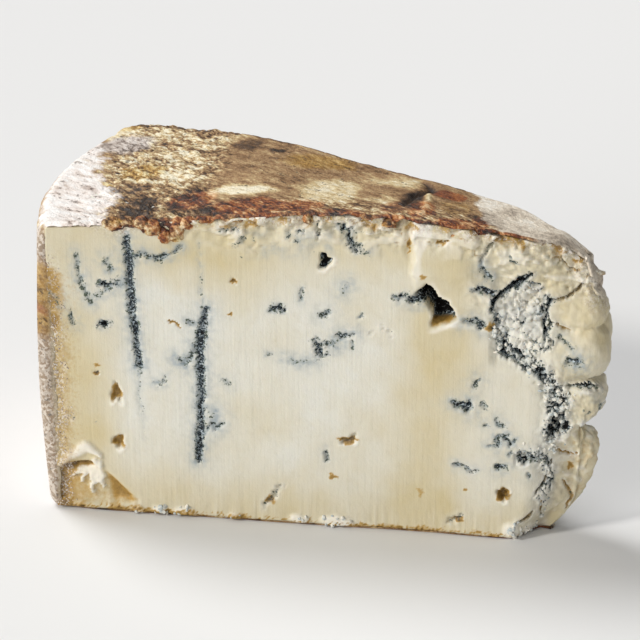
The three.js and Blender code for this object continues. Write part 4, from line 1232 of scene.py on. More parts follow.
def rind_fields(x, y, z):
    """Relief and colour of the rind: ridges left by the brush, dark pits, bloom and cream patches."""
    top = (1 - in_side)[:, None]
    side = (in_side * (1 - in_foot))[:, None] * smooth(0.0, 0.07, across)[None, :]
    brushed, athwart = 0.79 * x - 0.62 * y, 0.62 * x + 0.79 * y
    streak = noise(brushed * 0.4, athwart, 0, 1.5, 111, 3)
    mottle = noise(brushed * 0.7, athwart, z, 3.6, 112, 4)
    broad = noise(x, y, z, 21, 113, 2)
    flake, parting = crumble(brushed * 0.5, athwart, 2.3, 114)
    worn = smooth(-30, -40, x) * smooth(-74, -66, x)
    craggy = smooth(-62, -57, x) * smooth(-22, -36, x) * smooth(24, 12, y)
    edge_lumps = smooth(9, 2, y) * smooth(-58, -50, x) * smooth(62, 50, x)
    smoother = 1 - 0.7 * smooth(36, 50, x)
    out = (
        top
        * (0.5 * broad + (0.16 * smoother + 0.3 * worn) * streak + (0.2 * smoother + 0.3 * worn) * mottle)
    )
    out += top * (0.12 + 0.6 * worn) * (0.5 * (flake - 0.7) - 0.55 * parting)
    lump, between = crumble(x, y, 4.2, 115)
    out += top * (1.1 * craggy + 0.5 * edge_lumps) * (lump - 0.75 - 0.4 * between)
    out += side * (0.5 * noise(x, y, z, 12, 115) + 0.3 * noise(x, y, z, 3.0, 116, 3) + 0.15 * streak)

    ends = np.interp(y, *BLOOM_ENDS)
    shades = {"bloom": smooth(6, -5, x - ends + 5.0 * noise(x, y, 0, 8, 117, 3))}
    side_bloom = 0.5 + 0.5 * noise(x, y, z, 13, 129, 3)
    shades["bloom"] = mix(
        shades["bloom"], side_bloom, in_side[:, None] * smooth(-0.01, 0.015, across)[None, :],
    )
    shades["cream"] = np.maximum(patches(x, y, CREAM_PATCHES, 118), 0.5 * worn * smooth(18, 28, y))
    shades["pale"] = smooth(40, 47, x + 5 * noise(x, y, 0, 9, 124, 3) + 0.25 * (y - 12))
    shades["worn"] = np.maximum(worn, smooth(16, 8, y)) * (1 - shades["pale"]) + 0 * z
    shades["dark"] = np.maximum(patches(x, y, DARK_PATCHES, 119), 0.6 * worn * parting)
    far_line = smooth(4.5, 1.0, (y - np.interp(x, [-74, -40, -20, 40], [80, 70, 60, 30])) * -1)
    shades["dark"] = np.maximum(shades["dark"], 0.85 * far_line * smooth(-72, -68, x) * smooth(-30, -40, x))
    shades["red"] = patches(x, y, RED_PATCHES, 120)
    shades["gold"] = patches(x, y, GOLD_PATCHES, 122)
    shades["mauve"] = patches(x, y, MAUVE_PATCHES, 123)
    crevice, _ = path_distance(x + 0.9 * noise(x, y, 0, 3, 119, 2), y, CREVICE)
    # the crevice is cut into the relief and painted dark inside as shade
    out -= top * bell(crevice, 0.9)
    shades["dark"] = np.maximum(shades["dark"], bell(crevice, 1.2))
    # painted highlight: a raised ridge beside the crevice is painted cream, as if lit
    lit, _ = path_distance(x + 0.5 * noise(x, y, 0, 2, 120, 2), y, [(27, 25), (28, 10), (27, 3)])
    out += top * 0.5 * bell(lit, 0.9)
    shades["cream"] = np.maximum(shades["cream"], bell(lit, 1.0))
    return out, {name: np.clip(shade, 0, 1) for name, shade in shades.items()}


relief, shades = rind_fields(X, Y, Z)
flat_foot = (1 - in_foot)[:, None]
tip_fade = smooth(0, 12, np.arange(stations))[:, None]
relief = relief * flat_foot * mix(0.35, 1, tip_fade)
sheet = sheet + normals * relief[..., None]
sandy = np.broadcast_to(in_side[:, None], X.shape) * smooth(90, 60, Z)
paste_like = np.broadcast_to(smooth(6, 1, np.arange(stations))[:, None], X.shape)
print("bloom covers", round(float(shades["bloom"].mean()), 2), "of the sheet")

# %% Cut edges of the rind
# crust that hangs over the front cut: middle, half width, how far down, how proud
CRUST_DRIPS = [
    (-58.5, 2.4, 1.6, 0.5), (-53.6, 1.8, 1.0, 0.4), (-50.2, 2.6, 1.4, 0.5), (-45.2, 2.2, 1.8, 0.5),
    (-40.8, 2.8, 2.4, 0.5), (-36.6, 1.6, 1.4, 0.5), (-27, 3, 0.8, 0.3), (-17, 4, 0.9, 0.3),
    (-3.4, 1.6, 1.3, 0.3), (12, 3, 1.0, 0.3), (20.5, 2.0, 1.6, 0.4), (36, 2.5, 0.9, 0.3),
    (44, 3, 1.2, 0.3),
]
across_rim = np.linspace(0, 1, RIM + 1)[1:]


def rim(border, outward, into, gap, thick, turn_r, proud, sink):
    """The cut edge: from the sheet's border round the arris and in along the cut, then tucked in."""
    corner = border + outward * gap[:, None]
    low = corner + into * turn_r[:, None]
    curve = []
    for t in (0.3, 0.65, 1.0):
        curve.append((1 - t) ** 2 * border + 2 * t * (1 - t) * corner + t * t * low)
    for t in across_rim:
        depth = mix(turn_r, thick, t)
        bulge = (
            proud * (0.35 + 0.65 * math.sin(math.pi * min(1, t * 0.85))) * (1 - t**3)
            - sink * t ** (1.2 + sink)
        )
        place = corner + into * depth[:, None]
        crag = (
            (0.22 + 0.5 * proud) * noise(place[:, 0], 5, place[:, 2], 1.5, 128, 3)
            * math.sin(math.pi * min(1, t * 0.95))
        )
        curve.append(place + outward * (bulge + crag)[:, None])
    for sunk in (0.9, 1.8):
        curve.append(corner + into * (thick * 0.96)[:, None] - outward * sunk)
    return np.array(curve)


index = np.arange(stations)
down = np.array([0, 0, -1.0])
shoulder_turn = np.clip((index - first_side + 1) / SHOULDER_STEPS, 0, 1) * math.pi / 2
foot_turn = np.clip((index - first_foot + 5) / 5, 0, 1) * math.pi / 2
flap_turn = np.clip((len(flap) - index) / (0.55 * FLAP_STEPS), 0, 1) * math.pi / 2


def into_cheese(sideways, backwards):
    """Direction along the cut that points from the rind into the cheese, station by station."""
    v = np.zeros((stations, 3))
    v += down * (np.cos(shoulder_turn) * np.cos(flap_turn))[:, None]
    v += sideways * (np.sin(shoulder_turn) * np.cos(foot_turn))[:, None]
    v += backwards * np.sin(flap_turn)[:, None]
    v -= down * np.sin(foot_turn)[:, None]
    return v / np.linalg.norm(v, axis=1)[:, None]


gap_f = np.concatenate(
    [np.zeros(len(flap)), gap_front, np.full(len(side_part), 2.5), np.full(FOOT_STEPS, 1.0)]
)
gap_b = np.concatenate([np.zeros(len(flap)), gap_back, np.zeros(len(side_part)), np.full(FOOT_STEPS, 1.5)])
gap_f[: len(flap)] = mix(0.0, gap_front[0], np.cos(flap_turn[: len(flap)]))
gap_b[: len(flap)] = mix(0.0, gap_back[0], np.cos(flap_turn[: len(flap)]))
shoulder = slice(first_side, first_side + SHOULDER_STEPS)
gap_b[shoulder] = SIDE_ROUND * (1 - np.sin(shoulder_turn[shoulder]))
gap_b[first_foot - 5 : first_foot] = FOOT_ROUND * np.linspace(0.1, 1, 5) * 0.6

xf, zf = sheet[:, 0, 0], sheet[:, 0, 2]
top_thick = 0.9 + 0.7 * noise(xf, 0, 0, 3, 121, 3) + 1.3 * smooth(-62, -57, xf) * smooth(-34, -40, xf)
top_thick = np.maximum(top_thick, 0.4)
side_thick = (
    3.6 + SIDE_SWELL * np.sin(math.pi * np.clip(zf / RIM_HEIGHT, 0, 1)) + 0.5 * noise(0, 0, zf, 5, 122, 3)
)
foot_thick = 0.75 + 0.5 * noise(xf, 9, 0, 3, 123, 2)
thick_f = mix(mix(top_thick, side_thick, np.sin(shoulder_turn)), foot_thick, np.sin(foot_turn))
proud_f = mix(
    0.2 + 0.35 * noise(xf, 3, zf, 2.6, 124, 3), 0.05 + 0.25 * noise(xf, 3, zf, 1.6, 127, 3), in_side,
)
for middle, half, reach, stand in CRUST_DRIPS:
    drop = smooth(1.15, 0.1, np.abs(xf + 0.9 * noise(xf, 1, 0, 1.6, 125, 2) - middle) / half)
    drop = drop * (is_top > 0) * (index >= len(flap))
    thick_f = thick_f + reach * drop
    proud_f = proud_f + stand * drop
thin_end = smooth(0, len(flap) + 4, index)
thick_f = mix(0.8, thick_f, thin_end)
thick_b = mix(
    mix(1.6 + 0.5 * noise(sheet[:, -1, 0], 5, 0, 5, 126, 2), 4.6, np.sin(shoulder_turn)), 0.9,
    np.sin(foot_turn),
)
thick_b = mix(0.8, thick_b, thin_end)

out_f = np.tile([0, -1.0, 0], (stations, 1))
out_b = np.tile([back_normal[0], back_normal[1], 0], (stations, 1))
into_f = into_cheese(np.array([1.0, 0, 0]), np.array([-1.0, 0, 0]))
into_b = into_cheese(
    np.array([-back_along[0], -back_along[1], 0]), np.array([back_along[0], back_along[1], 0]),
)
turn_f = np.minimum(gap_f, 0.6 * thick_f)
turn_b = np.minimum(np.maximum(gap_b, 0.4), 0.6 * thick_b)
rim_f = rim(sheet[:, 0], out_f, into_f, gap_f, thick_f, turn_f, proud_f, mix(1.6, 0.55, in_side))
rim_b = rim(
    sheet[:, -1], out_b, into_b, gap_b, thick_b, turn_b, np.full(stations, 0.15), np.full(stations, 0.5),
)

ON_TOP = 80  # a station in the middle of the top
inner_at = np.linspace(0.02, 0.98, LINING)
pick = np.round(inner_at * (SHEET - 1)).astype(int)
inside_thick = mix(thick_f[:, None], thick_b[:, None], inner_at)
inside_thick = np.minimum(inside_thick, mix(1.8, 4.4, in_side)[:, None])
inside_thick = inside_thick * mix(0.2, 1, smooth(0.5 * len(flap), len(flap) + 8, index))[:, None]
lining = (
    sheet[:, pick]
    - sheet_normals(sheet)[:, pick] * (np.sign(normals[ON_TOP, 60, 2]) * inside_thick)[..., None]
)
if lining[ON_TOP, 8, 2] > sheet[ON_TOP, pick[8], 2]:
    lining = 2 * sheet[:, pick] - lining

rings = np.concatenate(
    [sheet, rim_b.transpose(1, 0, 2), lining[:, ::-1], rim_f.transpose(1, 0, 2)[:, ::-1]], axis=1
)
rings[..., 2] = np.maximum(rings[..., 2], 0.0)
ring_count = rings.shape[1]
print("rind rings:", rings.shape[:2])


def ring_field(on_sheet, on_front_rim, on_back_rim):
    full = np.zeros((stations, ring_count))
    full[:, :SHEET] = on_sheet
    full[:, SHEET + rim_total : -rim_total] = np.broadcast_to(on_sheet, X.shape)[:, pick[::-1]]
    full[:, SHEET : SHEET + rim_total] = on_back_rim[:, None]
    full[:, -rim_total:] = on_front_rim
    return full.ravel()


rim_total = rim_f.shape[0]
inwards = np.linspace(1, 0, rim_total)[None, :]  # 1 where the cut edge meets the paste
rim_top = ((1 - in_side) * (1 - np.clip(flap_turn, 0, 1)))[:, None]
edge_x, edge_z = xf[:, None] + 2.2 * inwards, zf[:, None]
browned = smooth(-63, -58, xf)[:, None]
rim_red = (
    rim_top * (0.75 + 0.4 * noise(edge_x, 2, 3 * inwards, 5, 131, 2)) * browned
    * smooth(68, 52, xf)[:, None]
)
rim_dark = rim_top * (0.3 + 0.9 * noise(edge_x, 7, 3 * inwards, 3, 132, 2) + 0.25 * inwards) * browned
rim_dark = np.maximum(rim_dark, (0.45 * in_foot * smooth(0.0, 0.5, noise(xf, 8, 0, 4, 133, 2)))[:, None])
rim_gold = (
    rim_top * smooth(-0.1, 0.4, noise(edge_x, 11, 4 * inwards, 2.4, 134, 2)) * browned
    * smooth(0, -30, xf)[:, None]
)
rim_side = (in_side * (1 - in_foot))[:, None]
stain_left = rim_side * smooth(53, 58, edge_z + noise(0, 0, edge_z, 3, 135)) * smooth(80, 75, edge_z)
rim_sand = rim_side * mix(1, 0.3, inwards) * (1 - 0.8 * stain_left)
blotched = smooth(-0.35, 0.3, noise(0, 3, edge_z + 2 * inwards, 3.5, 136, 2))
rim_red = np.maximum(
    np.maximum(rim_red, 0.85 * stain_left * blotched * mix(1, 0.2, inwards)),
    ((0.2 + 0.7 * smooth(44, 50, xf) * smooth(68, 62, xf)) * in_foot)[:, None],
)
rim_gold = np.maximum(rim_gold, 0.8 * stain_left)
rim_bloom = rim_top * smooth(-58, -63, xf)[:, None] * mix(0.9, 0.3, inwards)
rim_paste = np.maximum(
    smooth(8, 2, index)[:, None] + 0 * inwards,
    (rim_side + rim_top * (1 - browned)) * smooth(0.35, 1, inwards),
)
on_flap = smooth(len(flap) + 3, len(flap) - 3, index)[:, None]
not_foot = (1 - in_foot)[:, None]


def on_rings(name, front_rim=0.0, back_rim=None):
    """A field of the sheet with its values on both cut edges."""
    on_front = front_rim * np.ones((stations, rim_total))
    return ring_field(
        shades[name] * not_foot, on_front, shades[name][:, -1] if back_rim is None else back_rim,
    )


shades["sandy"] = np.maximum(sandy, 0.5 * in_foot[:, None])
shades["paste_like"] = paste_like
crust = [
    on_rings("bloom", rim_bloom),
    on_rings("cream"),
    ring_field(shades["sandy"], rim_sand, rim_sand.mean(1)),
]
marks = [
    on_rings("dark", rim_dark, np.clip(rim_dark.mean(1), 0, 1)),
    on_rings("red", rim_red, 0.6 * rim_red.mean(1)),
    ring_field(paste_like, rim_paste, smooth(8, 2, index)),
]
tints = [
    on_rings("gold", rim_gold),
    on_rings("mauve", 0.8 * on_flap),
    on_rings("pale", np.maximum(rim_top, on_flap) * smooth(52, 66, xf)[:, None]),
    on_rings("worn", 0.8 * browned * rim_top),
]
rind_faces = list(grid_faces(stations, ring_count, True))
rind_faces.append(list(range(ring_count)))
rind_faces.append(list(range(stations * ring_count - ring_count, stations * ring_count))[::-1])
rind = make_piece(
    "brushed_rind", rings.reshape(-1, 3), rind_faces, {"crust": crust, "marks": marks, "tints": tints},
)

# %% [markdown]
# ### Browned crust that hangs over the front cut
#
# Near the left end the knife tore the rind instead of cutting it, and lumps of browned crust hang over
# the cut. Each is a small ball pressed flat and roughened with noise, sunk in the cut's upper edge, with
# its sunken spots painted darker as shade.

# %% Lumps of crust
# middle x and z, half width, half height, how proud
CRUST_LUMPS = [
    (-58.4, 90.0, 3.2, 1.9, 1.0), (-54.4, 90.9, 2.6, 1.3, 0.7), (-50.0, 90.6, 2.6, 1.8, 1.0),
    (-46.6, 89.4, 2.6, 2.6, 1.2), (-43.6, 87.6, 2.1, 2.7, 1.1), (-40.4, 88.6, 2.7, 3.4, 1.2),
    (-37.4, 91.2, 2.2, 1.7, 0.9), (-32.0, 92.6, 2.6, 1.0, 0.7), (-24.6, 93.4, 3.0, 0.9, 0.6),
    (-3.6, 94.9, 1.4, 1.6, 0.8), (19.0, 94.6, 2.2, 1.4, 0.8), (36.4, 92.4, 2.4, 1.1, 0.7),
]
turns, tilts = np.meshgrid(np.linspace(0, 2 * math.pi, 40, endpoint=False), np.linspace(0, math.pi, 26))
ball = np.stack([np.sin(tilts) * np.cos(turns), np.cos(tilts), np.sin(tilts) * np.sin(turns)], -1)
lump_points, lump_faces, lump_red, lump_gold, lump_dark = [], [], [], [], []
for cx, cz, half_x, half_z, proud in CRUST_LUMPS:
    bumps = noise(cx + 1.3 * ball[..., 0], 1.3 * ball[..., 1], cz + 1.3 * ball[..., 2], 0.9, 151, 3)
    rough = 1 + 0.3 * bumps
    x = cx + half_x * rough * ball[..., 0]
    y = 0.9 - (0.9 + proud) * rough * ball[..., 1]
    z = cz + half_z * rough * ball[..., 2] - 0.5 * np.abs(ball[..., 0]) ** 2
    # painted shade: the sunken spots of each lump are painted darker
    pit_shade = smooth(0.05, -0.3, rough - 1)
    lump_faces += [
        list(len(lump_points) * ball[..., 0].size + face) for face in grid_faces(*ball.shape[:2], True)
    ]
    lump_points.append(np.stack([x, y, z], -1).reshape(-1, 3))
    lump_red.append((0.65 + 0.35 * noise(x, y, z, 2.4, 152)).ravel())
    lump_gold.append(smooth(-0.2, 0.5, noise(x, y, z, 2.0, 153)).ravel())
    lump_dark.append((0.75 * pit_shade + 0.35 * smooth(0.3, 1, ball[..., 2])).ravel())
lump_points = np.concatenate(lump_points)
lump_red, lump_gold, lump_dark = (np.concatenate(v) for v in (lump_red, lump_gold, lump_dark))
blank = np.zeros(len(lump_points))
lumps = make_piece("crust_lumps", lump_points, lump_faces, {
    "crust": [blank, 0.3 + blank, blank],
    "marks": [lump_dark, lump_red, blank],
    "tints": [lump_gold, blank, blank, 1 + blank],
})

# %% Faces outward, doubles merged
MERGED_WITHIN, SLIVER = 0.00001, 0.000005  # metres


def tidy_mesh(piece):
    """Merges doubled points and turns every face outward."""
    work = bmesh.new()
    work.from_mesh(piece.data)
    bmesh.ops.remove_doubles(work, verts=work.verts, dist=MERGED_WITHIN)
    bmesh.ops.dissolve_degenerate(work, edges=work.edges, dist=SLIVER)
    big = [face for face in work.faces if len(face.verts) > 4]
    bmesh.ops.triangulate(work, faces=big)
    bmesh.ops.recalc_face_normals(work, faces=work.faces)
    work.to_mesh(piece.data)
    work.free()
    open_edges = (
        len(piece.data.edges)
        - len({tuple(sorted(key)) for p in piece.data.polygons for key in p.edge_keys})
    )
    print(piece.name, "tidied,", len(piece.data.polygons), "faces,", open_edges, "loose edges")


tidy_mesh(paste)
tidy_mesh(rind)
tidy_mesh(lumps)

# %% [markdown]
# ## Materials
#
# All colours are sRGB hex values turned linear by one function, and one function adds a node. The
# patterns use Object coordinates in metres, so their scales come from real sizes.

# %% Colour and node helpers


def hex_colour(code):
    """An sRGB hex value as linear red, green, blue and alpha."""
    channels = [int(code[i : i + 2], 16) / 255 for i in (0, 2, 4)]
    linear = [c / 12.92 if c <= 0.04045 else ((c + 0.055) / 1.055) ** 2.4 for c in channels]
    return (*linear, 1.0)


# a word for each kind of node: its type, its settings, the inputs its values go to, the output used
NODE_WORDS = {
    "place": ("ShaderNodeTexCoord", {}, (), "Object"),
    "field": ("ShaderNodeAttribute", {}, (), None),
    "channels": ("ShaderNodeSeparateColor", {}, (0,), None),
    "mapping": ("ShaderNodeMapping", {}, ("Vector",), 0),
    "noise": ("ShaderNodeTexNoise", {}, ("Vector", "Scale", "Detail", "Roughness"), 0),
    "cells": ("ShaderNodeTexVoronoi", {"feature": "F1"}, ("Vector", "Scale"), "Color"),
    "blend": ("ShaderNodeMix", {"data_type": "RGBA"}, (0, 6, 7), 2),
    "range": ("ShaderNodeMapRange", {}, ("Value", "To Min", "To Max"), 0),
    "ramp": ("ShaderNodeValToRGB", {}, (0,), 0),
    "bump": ("ShaderNodeBump", {}, ("Height", "Strength", "Distance"), 0),
    "shader": ("ShaderNodeBsdfPrincipled", {}, (), 0),
    "surface": ("ShaderNodeOutputMaterial", {}, ("Surface",), None),
    "given": ("NodeGroupInput", {}, (), None),
    "named_field": ("GeometryNodeInputNamedAttribute", {"data_type": "FLOAT_COLOR"}, ("Name",), 0),
    "parts": ("FunctionNodeSeparateColor", {}, (0,), None),
    "spots": ("GeometryNodeDistributePointsOnFaces", {}, ("Mesh", "Density", "Seed"), "Points"),
    "ball": ("GeometryNodeMeshIcoSphere", {}, ("Radius", "Subdivisions"), "Mesh"),
    "random_size": ("FunctionNodeRandomValue", {"data_type": "FLOAT"}, (2, 3), 1),
    "random_vector": ("FunctionNodeRandomValue", {"data_type": "FLOAT_VECTOR"}, (0, 1), 0),
    "scaled": ("ShaderNodeVectorMath", {"operation": "SCALE"}, (0, "Scale"), 0),
    "apart": ("ShaderNodeVectorMath", {"operation": "SUBTRACT"}, (0, 1), 0),
    "instances": ("GeometryNodeInstanceOnPoints", {}, ("Points", "Instance", "Scale", "Rotation"), 0),
    "realized": ("GeometryNodeRealizeInstances", {}, (0,), 0),
    "position": ("GeometryNodeInputPosition", {}, (), 0),
    "moved": ("GeometryNodeSetPosition", {}, ("Geometry", "Offset"), 0),
    "finished": ("GeometryNodeSetMaterial", {}, ("Geometry", "Material"), 0),
    "result": ("NodeGroupOutput", {}, (0,), None),
}
# plus, less, times and larger hold their result between 0 and 1, the open ones let it run past
for word, operation in (("plus", "ADD"), ("less", "SUBTRACT"), ("times", "MULTIPLY"), ("larger", "MAXIMUM")):
    NODE_WORDS[word] = ("ShaderNodeMath", {"operation": operation, "use_clamp": True}, (0, 1), 0)
    NODE_WORDS["open_" + word] = ("ShaderNodeMath", {"operation": operation}, (0, 1), 0)


def add_node(tree, word, *values, settings=None, stops=(), use=None, **inputs):
    """One node with its settings and links, and with a colour ramp's stops; returns the output used."""
    kind, usual, sockets, output = NODE_WORDS[word]
    node = tree.nodes.new(kind)
    for key, value in {**usual, **(settings or {})}.items():
        setattr(node, key, value)
    for key, value in [*zip(sockets, values), *inputs.items()]:
        socket = node.inputs[key]
        if isinstance(value, bpy.types.NodeSocket):
            tree.links.new(value, socket)
        else:
            socket.default_value = hex_colour(value) if socket.type == "RGBA" else value
    while stops and len(node.color_ramp.elements) < len(stops):
        node.color_ramp.elements.new(0.5)
    for number, (at, code) in enumerate(stops):
        node.color_ramp.elements[number].position = at
        node.color_ramp.elements[number].color = hex_colour(code)
    output = use or output
    return node.outputs if output is None else node.outputs[output]


def per_metre(size_mm):
    """Noise scale for features of a real size in millimetres."""
    return 1000.0 / size_mm


def start_material(name):
    """A blank material, and short functions that add nodes to it."""
    material = bpy.data.materials.new(name)
    material.use_nodes = True
    material.node_tree.nodes.clear()
    add = partial(add_node, material.node_tree)

    def above(value, low, gain):
        """Rises from 0 where value is low, at the given gain."""
        return add("times", add("open_less", value, low), gain)

    def around_zero(pattern, reach):
        """A pattern from 0 to 1, moved to lie on both sides of 0."""
        return add("open_times", add("open_less", pattern, 0.5), reach)

    def patchy(field, pattern, reach, low, gain):
        """A field whose edge is broken up by a pattern."""
        return above(add("open_plus", field, around_zero(pattern, reach)), low, gain)

    return material, add, above, around_zero, patchy


def shares_of(add, name):
    """The three shares that make_piece packed into a field."""
    return add("channels", add("field", settings={"attribute_name": name})["Color"])


# %% [markdown]
# ## Semi-soft blue cheese paste
#
# The paste is fat and moist, so light goes a little way in and the surface has a soft waxy sheen. It is
# cream near the rind and cooler where mould grew. Mould crumbs are dry, dark blue to black, with paler
# blue-grey dust round them. Ochre and olive stains line the eyes. Shade is also painted in: deep gaps,
# holes and creases are coloured near-black or brown, and lit lips and crags are painted pale as
# highlights. The mould's grains are drawn about half a millimetre wide, coarser than real ones, so that
# they show.

# %% Paste material


def paste_material():
    m, add, above, around_zero, patchy = start_material("semi_soft_blue_cheese_paste")
    place = add("place")
    mould, haze, stain_and_shade = shares_of(add, "veining")
    fresh_and_highlight, warm, near_rind = shares_of(add, "body")
    upright = add("mapping", place, Scale=(1.0, 1.0, 0.05))
    clouds = add("noise", place, per_metre(9), 5.0)
    dust = add("noise", place, per_metre(1.7), 4.0)
    crumbs = add("noise", place, per_metre(1.0), 3.0, 0.6)
    fine = add("noise", place, per_metre(0.42), 2.0)
    strokes = add("noise", upright, per_metre(0.9), 2.0)
    chance, tone, _ = add("channels", add("cells", place, per_metre(0.5)))

    # cream, cooler or warmer with the field and a little cloudiness, streaked faintly by the knife
    warmth = add("plus", add("times", warm, 0.85), above(clouds, 0.42, 0.6))
    cream = add("blend", warmth, "E1DFD4", "D0C198")
    cream = add("blend", above(strokes, 0.54, 0.55), cream, "E9E2CB")
    cream = add("blend", above(dust, 0.54, 0.8), cream, "C6BDA0")
    # fresh white paste, together with the painted highlights on lips, crags and vein rims
    cream = add("blend", add("times", fresh_and_highlight, 0.9), cream, "F3EEE2")

    # blue haze, broken up by dust
    cream = add("blend", add("times", haze, above(dust, 0.2, 1.7)), cream, "99A6AE")

    # stains and painted shade: amber at the rim, olive brown inside, and nearly black in the deepest, where
    # the black is painted shade
    stain_and_shade_level = add("open_plus", add("times", stain_and_shade, 1.05), around_zero(crumbs, 0.55))
    ochre = add("blend", above(stain_and_shade_level, 0.5, 1.8), "BA9650", "6E5220")
    ochre = add("blend", above(stain_and_shade_level, 1.0, 5.0), ochre, "24160B")
    stain_and_shade_cover = add("times", above(stain_and_shade_level, 0.16, 2.6), above(stain_and_shade, 0.03, 9.0))
    cream = add("blend", stain_and_shade_cover, cream, ochre)

    # grey-pink and brown grains next to the rind
    brown_grains = add("times", near_rind, patchy(crumbs, chance, 0.25, 0.47, 6.0))
    cream = add("blend", add("times", brown_grains, 0.7), cream, "9F876F")
    pale_grains = add("times", near_rind, above(tone, 0.7, 9.0))
    cream = add("blend", add("times", pale_grains, 0.75), cream, "EAE3DA")

    # a blue-grey smudge under the grains of mould
    smudge = add("times", patchy(mould, dust, 0.5, 0.12, 1.8), 0.75)
    cream = add("blend", smudge, cream, "7C8B92")

    # mould: grains from black to blue-grey that thin out at the edge, with a few pale ones among them; where
    # the field is fullest, in the deepest gaps and holes, it turns a near-black brown as painted shade
    level = add("open_plus", add("times", mould, 1.25), around_zero(chance, 0.75))
    level = add("open_plus", level, around_zero(crumbs, 1.7))
    grown = add("times", above(level, 0.5, 5.0), above(mould, 0.04, 9.0))
    blue = add("blend", above(tone, 0.35, 2.2), "080A0D", "36454F")
    not_deep = add("less", 1.0, above(mould, 0.84, 9.0))
    blue = add("blend", add("times", above(tone, 0.8, 14.0), not_deep), blue, "BCC7CC")
    blue = add("blend", above(mould, 0.9, 12.0), blue, "0B0605")
    blue = add("blend", above(mould, 0.3, 3.0), "5A6455", blue)
    colour = add("blend", grown, cream, blue)

    rough = add("plus", add("range", dust, 0.4, 0.58), add("times", grown, 0.35))
    grain = add("plus", add("times", fine, 0.35), add("times", crumbs, 0.65))
    rub = add("plus", add("times", strokes, 0.5), add("times", grain, 0.6))
    skin = {
        "Base Color": colour,
        "Roughness": rough,
        "Normal": add("bump", rub, 0.55, 0.00035),
        "IOR": 1.45,
        "Subsurface Weight": 0.1,
        "Subsurface Radius": (1.0, 0.72, 0.42),
        "Subsurface Scale": 0.002,
    }
    add("surface", add("shader", **skin))
    return m


# %% [markdown]
# ## Natural brushed rind
#
# The rind dried and was brushed while it aged. It is leathery brown with darker pits, has a dry white to
# pink bloom on the shoulder and side, and cream patches where the brown wore off. It is rough all over,
# with a slight gloss where fat came through along the front edge.

# %% Rind material


